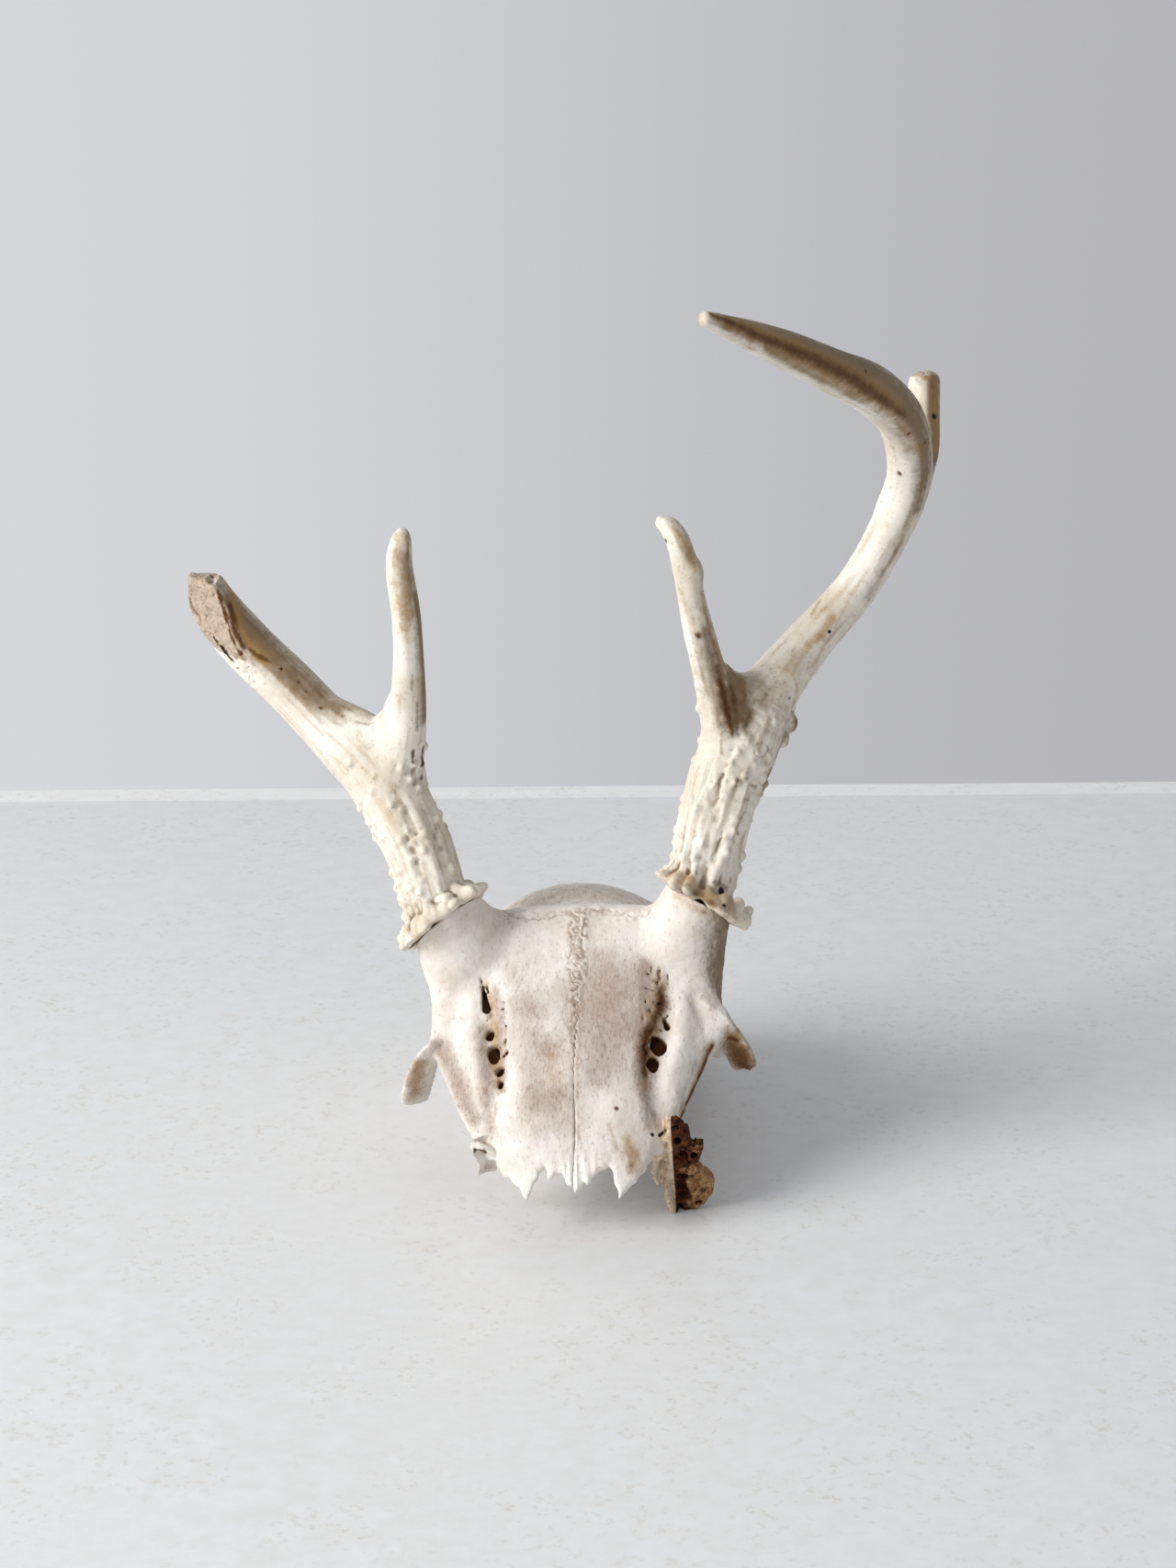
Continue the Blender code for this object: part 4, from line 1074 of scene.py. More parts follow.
# marks on the bone by kind and strength: paths through the photograph (across, down, half width in pixels)
boneStrokes = {
    "shade": {
        0.3: [[(665, 1050, 30), (670, 1110, 40), (668, 1170, 34)]],
        0.35: [[(560, 1060, 16), (575, 1100, 16)]],
        0.4: [[(540, 1010, 10), (600, 990, 9), (660, 990, 9)]],
        0.5: [[(588, 1140, 20), (582, 1205, 22)], [(745, 1080, 4), (757, 1105, 5), (765, 1125, 5)], [(757, 1160, 7),
            (742, 1195, 6)], [(600, 1190, 30), (600, 1215, 26)]],
        0.55: [[(772, 1000, 12), (772, 1050, 13), (777, 1100, 10)]],
        0.6: [[(455, 1160, 12), (452, 1190, 12)]],
        0.7: [[(527, 1120, 10), (528, 1180, 12), (533, 1228, 9)], [(532, 1270, 9), (531, 1280, 7)]],
        0.8: [[(702, 1050, 10), (700, 1110, 11), (697, 1170, 10), (706, 1225, 8)], [(700, 1195, 7), (716, 1225, 8)],
            [(538, 1075, 7), (543, 1110, 9), (546, 1150, 9), (548, 1185, 8)]],
        1.0: [[(797, 1128, 13), (808, 1155, 15)], [(478, 1140, 14), (498, 1180, 16), (514, 1218, 12)]],
    },
    "tan": {
        # the first of these runs under the burr: painted shadow there, over a brown line
        0.4: [[(464, 1032, 3), (487, 1011, 3), (508, 996, 3), (530, 982, 6)], [(750, 1005, 8), (768, 1035, 10)],
            [(541, 1200, 5), (537, 1232, 6)]],
        0.5: [[(620, 1015, 5), (628, 1045, 5)]],
        0.55: [[(602, 1150, 12), (604, 1172, 12)]],
        0.6: [[(735, 975, 9), (757, 988, 8), (782, 1000, 6)], [(516, 1240, 3), (530, 1246, 3), (541, 1266, 2)],
            [(662, 1225, 4), (672, 1250, 4)], [(628, 1150, 2), (629, 1190, 2), (630, 1245, 2)]],
        0.8: [[(455, 1160, 14), (452, 1190, 12)]],
        0.85: [[(682, 1240, 8), (688, 1256, 12), (690, 1272, 10)]],
        0.9: [[(717, 1058, 7), (718, 1085, 15), (713, 1115, 16), (706, 1150, 12), (702, 1180, 8)], [(529, 1072, 5),
            (536, 1100, 9), (540, 1130, 9), (541, 1160, 9), (543, 1188, 6)], [(773, 1138, 7), (766, 1158, 8),
            (752, 1190, 8), (739, 1224, 7)]],
        1.0: [[(800, 1132, 13), (808, 1155, 14)], [(797, 1133, 18), (808, 1155, 20)]],
    },
    "stain": {
        0.5: [[(617, 1243, 1.4), (617, 1256, 1.2)]],
        0.55: [[(688, 1268, 6), (684, 1280, 3)]],
        0.6: [[(751, 1092, 2.2)], [(700, 1120, 3), (697, 1150, 3)], [(790, 1003, 3), (765, 992, 2.5)]],
        0.7: [[(448, 1188, 1.5), (460, 1184, 1.5), (474, 1178, 1.5)], [(528, 1085, 5), (534, 1105, 6)]],
        0.8: [[(795, 1136, 13), (804, 1147, 17), (812, 1160, 16)]],
        # the last of these is the brown in the hollow of the half tube under the right rim, partly painted shade
        0.9: [[(671, 1207, 3.2)], [(802, 1133, 3.5), (794, 1130, 2.5)], [(527, 1254, 4), (518, 1252, 4)]],
        0.95: [[(718, 1078, 7), (720, 1092, 10), (712, 1112, 9), (703, 1130, 11), (702, 1150, 11), (702, 1170, 8)]],
        1.0: [[(775, 1139, 4), (768, 1157, 5.5), (758, 1180, 5.5), (747, 1202, 5.5), (739, 1224, 5)]],
    },
    "dark": {
        # the fainter dark marks are painted shade in the slit and the holes of the grooves; the full ones are cracks
        0.5: [[(525, 1067, 2), (527, 1082, 3), (530, 1092, 2.5)], [(701, 1134, 3), (703, 1146, 3)]],
        1.0: [[(710, 1235, 2.4)], [(718, 1236, 1.8), (724, 1231, 1.8), (732, 1228, 1.8), (740, 1219, 2)]],
    },
}
# the tan over the dome is painted shade
domeShadeStrokes = {"tan": {0.5: [[(570, 982, 40), (630, 972, 40), (690, 980, 40)]]}}
makeBones({"frontal": boneStrokes, "parietal": domeShadeStrokes})


# The brown scrap of cheek bone that props up the skull's left side: a thin wall that runs back from the camera,
# a spongy mass beside it, and splinters on its other side.
scrap = {
    "wall": [(27.0, -15.0, 13.0, 3.4), (27.1, -16.8, 5.0, 4.2), (27.0, -18.4, -4.0, 4.6), (27.4, -19.6, -11.5, 4.8),
             (29.4, -20.4, -19.0, 4.4)],
    "body": [(27.5, 16.4), (30.6, 16.6), (32.4, 15.6), (34.2, 11.4), (34.5, 8.0), (38.5, 6.4), (37.3, 2.4),
             (35.4, 0.2), (37.6, -3.2), (41.2, -7.9), (40.3, -12.4), (37.4, -16.2), (33.2, -18.8), (29.2, -20.4),
             (27.0, -12.0)],
    "space": ((19, -36, -26), (47, -6, 24), 0.35), "bodyAt": -18.6, "bodyThick": 5.0,
    "rough": ((0.30, 1.4, 63), (0.25, 3.1, 64), (0.15, 0.8, 65)),
    "acrossWall": (0.1, 1.0, 0.03), "flatness": 5.2, "blend": 0.6,
    "holes": [((31.0, -22.6, -9.6), (2.1, 4.0, 4.6)), ((29.6, -21.5, -17.2), (1.4, 4.0, 2.0)),
              ((32.2, -20, -4.2), (2.6, 2.6, 1.6)), ((36.0, -21, -15.4), (1.3, 2.4, 1.0)),
              ((32.2, -21, 3.6), (1.7, 3.0, 2.4)), ((35.6, -21, 4.4), (1.2, 2.6, 1.5)),
              ((37.0, -21, -2.9), (1.8, 1.3, 0.9)), ((31.0, -20.5, 10.6), (1.3, 2.6, 2.0))],
    "slot": [(36.0, -21.3, -12.8, 0.8), (37.8, -21.3, -10.4, 1.3), (40.2, -21.3, -9.2, 1.1)],
    "splinters": [[(26.0, -18.5, 6.0, 2.2), (23.9, -21, 2.6, 1.3), (23.3, -22.4, -1.6, 0.9), (24.2, -23, -4.6, 0.4)],
                  [(26.4, -18.5, 9.0, 1.6), (24.0, -19.5, 6.2, 1.3), (22.6, -21.0, 5.0, 0.7)],
                  [(26.6, -18.5, 2.0, 1.5), (25.4, -20.5, -2.6, 0.9), (25.3, -21.4, -6.4, 0.4)]],
}


def scrapBlock():
    block = Block(*scrap["space"])
    block.add(plate(scrap["body"], scrap["bodyThick"], scrap["bodyAt"], lambda across, up: 0.02 * (across - 33) ** 2))
    x, y, z = block.everywhere()
    canals = canalField(x, y, z, 1.9, 1.7, 61) - 0.2
    spongy = ramp(x - 0.28 * z, 37.6, 34.6) * ramp(x, 28.6, 29.4)
    block.trim(..., -(canals * 2.0 + 4 * (1 - spongy)))
    for at, radii in scrap["holes"]:
        block.cut(egg(at, radii), 0.5)
    block.addPath(scrap["slot"], 0.3, cut=True)
    block.addPath(scrap["wall"], scrap["blend"], shape=flatBar(scrap["acrossWall"], scrap["flatness"]))
    for splinter in scrap["splinters"]:
        block.addPath(splinter, scrap["blend"])
    block.distance += grains(x, y, z, scrap["rough"]).astype(np.float32)
    cutFloor(block)
    return block


# the thin half tube that is left under the right rim, open towards the camera
flake = {
    "outline": [(-30.8, 12.5), (-31.4, 8.5), (-30.9, 6.5), (-30.3, 2.6), (-30.6, -2.2), (-28.4, -3.0), (-25.6, -3.3),
                (-24.3, 0.6), (-23.6, -2.0), (-22.6, -3.6), (-21.5, -2.4), (-21.5, 2.6), (-22.9, 7.2), (-23.2, 11.0)],
    "space": ((-37, -36, -16), (-17, -8, 18), 0.35), "at": -21.0, "thick": 1.1, "rough": ((0.14, 1.5, 66),),
    "rib": [(-30.9, -19.5, 8.5, 1.3), (-29.0, -22.0, 10.6, 1.4), (-26.0, -22.8, 9.6, 1.3), (-23.0, -23.5, 7.4, 1.1)],
}


def flakeBlock():
    block = Block(*flake["space"])
    bow = lambda across, up: 1.9 - 0.16 * (across + 26.3) ** 2 + 0.02 * (up - 4) ** 2
    block.add(plate(flake["outline"], flake["thick"], flake["at"], bow))
    block.addPath(flake["rib"], 0.8)
    block.distance += grains(*block.everywhere(), flake["rough"]).astype(np.float32)
    return block


def scrapNumbers(mesh, points):
    # the wall is pale and the lump on the right ochre, while the material paints the spongy middle nearly black
    # inside, as painted shade in its pores
    x, y, z = points.T
    pale = ramp(x, 29.6, 28.4) * ramp(z, -26, -14) + ramp(x, 26.0, 25.0) * 0.6
    addNumbers(mesh, "pale", np.clip(pale, 0, 1))
    lobe = ramp(x + 0.28 * z, 29.5, 32.5) * ramp(z, 1.5, -1.5)
    addNumbers(mesh, "ochre", np.clip(0.9 * lobe + 0.35 * ramp(x - 0.1 * z, 33.2, 34.4), 0, 1))


for name, block, slot, coat in (("lacrimal_left", scrapBlock(), "stained_bone", stained),
                                ("lacrimal_right", flakeBlock(), "skull_bone", bone)):
    points, quads = block.surface()
    mesh = meshFrom(name, toFrame(points), quads)
    boneNumbers(mesh, points, boneStrokes, surfaceTree([(toFrame(points), quads)]))
    scrapNumbers(mesh, points)
    finishPiece(name + "_bone", mesh, [name], coat)
print("skull finished")


# Antlers: each branch is a run of places above the floor with the radius there. Breaks are a place, the way they
# face, how far they reach and how rough they are. The bark fades between two lengths along the beam.
antlers = {
    "left": {
        "low": (18, -102, 76), "high": (122, 64, 290), "voxel": 0.5, "seed": 3,
        "branches": [
            [(35.9, 42, 77, 10.0), (39.9, 47, 102, 10.0), (44.8, 52, 120, 10.9), (50.2, 57, 133, 11.8),
             (58.5, 63, 146.6, 9.1), (71, 69, 162, 7.5), (86, 75, 178, 6.6), (97, 76, 198, 6.6), (101, 70, 216, 6.9),
             (97, 58, 233.5, 7.2), (86, 40, 246.8, 7.3), (72, 15, 257.0, 6.3), (59, -8, 266.5, 5.4),
             (45, -32, 275.7, 3.9), (33.8, -50.4, 282.8, 2.2)],
            [(48, 55, 132, 8.8), (40.7, 50, 156, 5.2), (36.8, 47, 171, 4.7), (33.6, 46, 185, 4.0),
             (30.8, 46, 197, 3.8), (27.8, 48, 203, 3.3), (25.2, 49, 204.8, 2.2)],
            [(98.5, 76, 203, 5.4), (104.8, 77, 219, 5.4), (106.3, 86, 233, 5.1), (107.0, 94, 246, 4.8)],
        ],
        "web": [(44.0, 54.5, 156.8, 2.4), (46.8, 56, 152.6, 4.0), (51.8, 58, 150.8, 4.4), (57, 60.5, 151.4, 4.2),
                (62.5, 63, 155.8, 3.8)],
        "breaks": [((106.6, 92, 242.6), (-0.12, 0.1, 0.98), 9, 0.5)],
        "bark": (60, 92), "depth": 1.05, "calm": (52, 57, 148, 27),
        "bumps": [(65.6, 60, 138.8, 2.3), (63.6, 60, 133.4, 1.6), (34.2, 45, 190, 3.4)],
        "notches": [], "nodes": ("base", "brow_tine", "beam", "back_tine", "beam_end"),
    },
    "right": {
        "low": (-134, -12, 66), "high": (-18, 50, 214), "voxel": 0.5, "seed": 9,
        "branches": [
            [(-41.5, 42.5, 73, 10.4), (-48.6, 48, 98.5, 10.2), (-55.6, 54, 112.7, 11.0), (-63.4, 60, 125, 11.8),
             (-77, 65, 135.4, 8.9), (-90.7, 70, 148.4, 8.4), (-103.7, 72, 161, 8.4), (-114.4, 70, 173.8, 8.8),
             (-125.6, 68, 189.2, 10.0)],
            [(-56.5, 56, 122, 8.3), (-52.5, 52, 143, 5.9), (-51.5, 48, 160.5, 4.9), (-51.8, 45, 177, 4.5),
             (-53.5, 44, 192, 4.1), (-53, 45, 199.2, 3.3), (-52.5, 45, 202.2, 2.0)],
        ],
        "web": [(-54.5, 54, 146, 3.8), (-58, 57, 140, 4.2), (-62.8, 58, 136.3, 4.4), (-68, 61, 138.5, 4.2),
                (-73, 63, 140.5, 3.4)],
        "breaks": [((-109.7, 61.5, 182.6), (-0.60, -0.75, -0.26), 26, 0.5),
                   ((-118, 69, 183), (-0.05, 0.05, 0.99), 16, 0.8), ((-120.8, 69, 175), (-0.99, 0, 0.08), 14, 0.4)],
        "bark": (30, 70), "depth": 0.6, "calm": (-62, 59, 138, 20), "bumps": [], "notches": [(-112.5, 66, 184.5, 1.8)],
        "nodes": ("base", "brow_tine", "beam"),
    },
}

burrShape = {
    "thick": 2.9, "wavy": 0.8, "lift": 1.5, "corners": 28, "spread": 1.3,
    "rows": [{"lift": 1.2, "outside": 2.3, "knobs": 17, "size": 2.1, "seed": 5},
             {"lift": 4.6, "outside": 0.2, "knobs": 13, "size": 1.8, "seed": 11}],
}
pearlShape = {"Apart": 3.2 * mm, "Most": 500000.0, "Pearl Size": 1.0 * mm, "Smallest": 0.6, "Largest": 1.2}


# how wide the creases of an antler are filled, and how round its breaks are
antlerBlends = {"branches": 3.5, "web": 5.0, "bumps": 2.0, "burr": 3.0, "knobs": 1.6, "pearls": 1.3, "notches": 1.0,
                "foot": 1.0, "blunt": 4.0, "sharp": 0.8}


def inFrame(stations):
    return [(*shifted((x, y, z)), *rest) for x, y, z, *rest in stations]


def treeWires(name, sizes):
    # a node tree with named inputs, and a wire for each of them
    tree = bpy.data.node_groups.new(name, "GeometryNodeTree")
    tree.interface.new_socket("Geometry", in_out="INPUT", socket_type="NodeSocketGeometry")
    tree.interface.new_socket("Geometry", in_out="OUTPUT", socket_type="NodeSocketGeometry")
    for size, kind in sizes.items():
        tree.interface.new_socket(size, in_out="INPUT", socket_type="NodeSocket" + kind)
    group = tree.nodes.new("NodeGroupInput")
    return tree, {socket.name: Wire(tree, socket) for socket in group.outputs if socket.name}


def endTree(tree, geometry, material):
    whole = geometry.node("GeometryNodeRealizeInstances", {}, {"Geometry": geometry})
    coated = whole.node("GeometryNodeSetMaterial", {}, {"Geometry": whole, "Material": material})
    last = tree.nodes.new("NodeGroupOutput")
    tree.links.new(coated.socket, last.inputs[0])


def knobTree(material):
    # lumps of uneven size round a ring
    tree, given = treeWires("knobsRoundRing", {"Radius": "Float", "Knobs": "Int", "Knob Size": "Float",
                                               "Spread": "Float", "Seed": "Int"})
    start = given["Radius"]
    ring = start.node("GeometryNodeCurvePrimitiveCircle", {}, {"Radius": given["Radius"], "Resolution": 64})
    spots = start.node("GeometryNodeCurveToPoints", {"mode": "COUNT"}, {"Curve": ring, "Count": given["Knobs"]})
    shift = start.node("FunctionNodeRandomValue", {"data_type": "FLOAT_VECTOR"},
                       {0: (-1, -1, -0.6), 1: (1, 1, 0.6), "Seed": given["Seed"]})
    shift = start.node("ShaderNodeVectorMath", {"operation": "SCALE"}, {0: shift, "Scale": given["Spread"]})
    spots = start.node("GeometryNodeSetPosition", {}, {"Geometry": spots, "Offset": shift})
    lump = start.node("GeometryNodeMeshIcoSphere", {}, {"Radius": given["Knob Size"], "Subdivisions": 2})
    uneven = start.node("FunctionNodeRandomValue", {"data_type": "FLOAT_VECTOR"},
                        {0: (0.6, 0.6, 0.6), 1: (1.5, 1.5, 1.35), "Seed": given["Seed"] + 7})
    lumps = start.node("GeometryNodeInstanceOnPoints", {}, {"Points": spots, "Instance": lump, "Scale": uneven})
    endTree(tree, lumps, material)
    return tree


def pearlTree(material):
    # beads scattered over a surface where its number says so
    tree, given = treeWires("pearlsOnSurface", {"Apart": "Float", "Most": "Float", "Pearl Size": "Float",
                                                "Smallest": "Float", "Largest": "Float", "Seed": "Int"})
    start = given["Geometry"]
    share = start.node("GeometryNodeInputNamedAttribute", {"data_type": "FLOAT"}, {"Name": "pearls"})
    spots = start.node("GeometryNodeDistributePointsOnFaces", {"distribute_method": "POISSON"},
                       {"Mesh": start, "Distance Min": given["Apart"], "Density Max": given["Most"],
                        "Density Factor": share, "Seed": given["Seed"]})
    size = start.node("FunctionNodeRandomValue", {"data_type": "FLOAT"},
                      {2: given["Smallest"], 3: given["Largest"], "Seed": given["Seed"] + 3}, out=1)
    bead = start.node("GeometryNodeMeshIcoSphere", {}, {"Radius": given["Pearl Size"], "Subdivisions": 2})
    beads = start.node("GeometryNodeInstanceOnPoints", {}, {"Points": spots, "Instance": bead, "Scale": size})
    endTree(tree, beads, material)
    return tree


def grown(tree, mesh, inputs):
    # runs a tree over a mesh and gives back the plain mesh it makes
    obj = linked(tree.name, mesh)
    modifier = obj.modifiers.new(tree.name, "NODES")
    modifier.node_group = tree
    for item in tree.interface.items_tree:
        if item.name in inputs:
            modifier[item.identifier] = inputs[item.name]
    made = bpy.data.meshes.new_from_object(obj.evaluated_get(bpy.context.evaluated_depsgraph_get()))
    bpy.data.objects.remove(obj)
    return made


class Branch:
    # a smooth path that knows how long it is and which way is sideways at every point
    def __init__(self, stations):
        self.points = smoothPath(inFrame(stations), 5)
        ways = np.gradient(self.points[:, :3], axis=0)
        ways /= np.linalg.norm(ways, axis=1)[:, None]
        side, sides = np.cross(ways[0], (0, 1, 0)), []
        for way in ways:
            side = side - way * (side @ way)
            side = side / np.linalg.norm(side)
            sides.append(side)
        self.ways, self.sides = ways, np.array(sides)
        steps = np.linalg.norm(np.diff(self.points[:, :3], axis=0), axis=1)
        self.long = np.concatenate([[0], np.cumsum(steps)])

    def read(self, points):
        # for each point: how far off the branch, how far along it, and its place rolled out on it
        off = np.full(len(points), 1e9)
        along, sideways, outwards = (np.zeros(len(points)) for _ in range(3))
        for k in range(len(self.points) - 1):
            a, b = self.points[k], self.points[k + 1]
            way = b[:3] - a[:3]
            share = np.clip((points - a[:3]) @ way / (way @ way), 0, 1)
            out = points - a[:3] - share[:, None] * way
            radius = a[3] + (b[3] - a[3]) * share
            far = np.linalg.norm(out, axis=1)
            nearer = far - radius < off
            side = self.sides[k] * (1 - share[:, None]) + self.sides[k + 1] * share[:, None]
            other = np.cross(self.ways[k], side)
            angle = np.arctan2((out * other).sum(1), (out * side).sum(1))
            off = np.where(nearer, far - radius, off)
            along = np.where(nearer, self.long[k] + share * (self.long[k + 1] - self.long[k]), along)
            sideways = np.where(nearer, np.cos(angle) * radius, sideways)
            outwards = np.where(nearer, np.sin(angle) * radius, outwards)
        return off, along, sideways, outwards


antlerRelief = {
    "gutterWide": 2.5, "gutterLong": 15.0, "gutterDeep": 0.95, "dimpleWide": 2.6, "dimpleLong": 6.0, "dimpleDeep": 0.7,
    "valleyWide": 4.6, "valleyLong": 24.0, "valleyDeep": 0.9, "fineWide": 1.2, "fineLong": 15.0, "fineDeep": 0.10,
    "wander": 1.1, "rippleDeep": 0.25, "rollDeep": 0.2, "tineSmoothFrom": 46.0, "hollow": (7, 0.32),
}


def antlerSurface(points, branches, a):
    # the gutters and ridges of the bark, deep near the burr and faint above, and how rough each place is
    r, (barkFull, barkGone) = antlerRelief, a["bark"]
    reads = [branch.read(points) for branch in branches]
    closest = np.min([read[0] for read in reads], axis=0)
    (*fork, wide), = inFrame([a["calm"]])
    rugged = 1 - 0.85 * bell(np.linalg.norm(points - fork, axis=1), wide)
    total, weights, roughness, streaks = 0, 0, 0, 0
    for number, (off, along, sideways, outwards) in enumerate(reads):
        weight = bell((off - closest) / 2.2, 1.0)
        fade = ((barkGone, barkFull), (r["tineSmoothFrom"] * barkFull / 60, 6), (-1, -2))[number]
        rough = ramp(along, *fade) * rugged
        s = a["seed"] + 20 * number
        wander = r["wander"] * grain(sideways / 5, outwards / 5, along / 9, 1, s + 1)
        places = {name: (sideways / r[name + "Wide"], outwards / r[name + "Wide"], along / r[name + "Long"])
                  for name in ("gutter", "dimple", "valley", "fine")}
        gutter = grain((sideways + wander) / r["gutterWide"], *places["gutter"][1:], 1, s + 2)
        dimple = grain(*places["dimple"], 1, s + 3)
        valley = grain(*places["valley"], 1, s + 4)
        fine = grain(*places["fine"], 1, s + 5)
        relief = r["gutterDeep"] * gutter - r["dimpleDeep"] * ramp(dimple, 0.15, 0.65) + r["valleyDeep"] * valley
        relief = relief + r["rippleDeep"] * grain(*(1.9 * p for p in places["gutter"]), 1, s + 6)
        smooth = r["fineDeep"] * fine + r["rollDeep"] * valley
        total = total + weight * (relief * rough * a["depth"] + smooth)
        roughness = roughness + weight * rough
        streaks = streaks + weight * fine
        weights = weights + weight
    return total / weights, roughness / weights, streaks / weights


def addBurr(block, side):
    burr, b, ring = burrs[side], burrShape, []
    at, turn = Vector(burr["at"]), Vector(burr["axis"]).to_track_quat("Z", "Y").to_matrix()
    for step in range(b["corners"] + 1):
        angle = 2 * math.pi * step / b["corners"]
        wide = burr["radius"] + b["wavy"] * math.sin(5 * angle)
        spot = at + turn @ Vector((math.cos(angle) * wide, math.sin(angle) * wide, b["lift"]))
        ring.append((*spot, b["thick"] + 0.5 * math.cos(3 * angle)))
    block.addPath(ring, antlerBlends["burr"], steps=1)
    for row in b["rows"]:
        lumps = grown(knobRing, bpy.data.meshes.new("ring"), {
            "Radius": (burr["radius"] + row["outside"]) * mm, "Knobs": row["knobs"], "Knob Size": row["size"] * mm,
            "Spread": b["spread"] * mm, "Seed": row["seed"]})
        lumps.transform(Matrix.Translation((at + turn @ Vector((0, 0, row["lift"]))) * mm) @ turn.to_4x4())
        block.addMesh(lumps, antlerBlends["knobs"])


def cutBreak(block, at, away, reach, rough):
    at = np.array(inFrame([at])[0])
    part, x, y, z = block.around(at, reach + 10)
    pits = canalField(x, y, z, 1.9, 1.7, 81) - 0.17
    beyond = pastPlane(at, unit(away), x, y, z) + 0.5 * ramp(pits, 0.06, -0.02)
    beyond = grains(x, y, z, ((rough, 3.4, 83), (0.4 * rough, 1.3, 84)), beyond)
    block.trim(part, beyond, antlerBlends["blunt" if reach < 10 else "sharp"])


def addPearls(block, side, branches):
    # thickest near the burr, in patches
    a, burr = antlers[side], burrs[side]
    points, quads = block.surface()
    guide = meshFrom("guide", points, quads)
    _, rough, _ = antlerSurface(points, branches, a)
    height = (points - burr["at"]) @ np.array(burr["axis"])
    patches = ramp(grain(*points.T, 9, a["seed"]), -0.3, 0.4)
    addNumbers(guide, "pearls", rough * ramp(height, 4, 9) * (0.25 + 0.75 * patches))
    block.addMesh(grown(pearlScatter, guide, {**pearlShape, "Seed": a["seed"]}), antlerBlends["pearls"])


def antlerBlock(side, branches):
    a, burr, blends = antlers[side], burrs[side], antlerBlends
    block = Block(a["low"], a["high"], a["voxel"])
    for stations in a["branches"]:
        block.addPath(inFrame(stations), blends["branches"])
    block.addPath(inFrame(a["web"]), blends["web"])
    for x, y, z, radius in inFrame(a["bumps"]):
        block.add(egg((x, y, z), (radius, radius, radius * 1.4)), blends["bumps"])
    addBurr(block, side)
    addPearls(block, side, branches)
    for place in a["breaks"]:
        cutBreak(block, *place)
    for x, y, z, radius in inFrame(a["notches"]):
        block.cut(egg((x, y, z), (radius, radius * 5, radius * 1.6)), blends["notches"])
    part, *places = block.around(burr["at"], 28)
    below = 0.35 * grain(*places, 2.6, 91) - pastPlane(burr["at"], unit(burr["axis"]), *places)
    block.trim(part, below, blends["foot"])
    return block


def makeAntler(side, strokes):
    a, burr = antlers[side], burrs[side]
    branches = [Branch(stations) for stations in a["branches"]]
    points, quads = antlerBlock(side, branches).surface()
    mesh = meshFrom("antler_" + side, points, quads)
    relief, _, streaks = antlerSurface(points, branches, a)
    broken = np.zeros(len(points))
    for at, away, reach, _ in a["breaks"]:
        off = points - inFrame([at])[0]
        broken = np.maximum(broken, ramp(off @ unit(away), -1.6, -0.4) * (np.linalg.norm(off, axis=1) < reach))
    pushed(mesh, relief * (1 - broken) + 0.05 * grain(*points.T, 1.1, 92))
    addNumbers(mesh, "hollow", hollowness(mesh, *antlerRelief["hollow"]))
    addNumbers(mesh, "streak", streaks)
    addNumbers(mesh, "broken", broken)
    # faces turned from the key light, more so higher up, are marked grey brown: painted shade with the antler's own
    # weathering
    facingAwayFromKey = meshNormals(mesh) @ np.array((0.8, 0.1, 0.6))
    addNumbers(mesh, "weatherAndShade", ramp(facingAwayFromKey, -0.3, 0.85) * (0.35 + 0.25 * ramp(points[:, 2], 115, 170)))
    addNumbers(mesh, "foot", ramp((points - burr["at"]) @ unit(burr["axis"]), 11, 3))
    for kind, values in paintStrokes(mesh, strokes, surfaceTree([(points, quads)])).items():
        addNumbers(mesh, kind, values)
    finishPiece("antler_" + side, mesh, ["antler_" + side + "_" + node for node in a["nodes"]], horn)


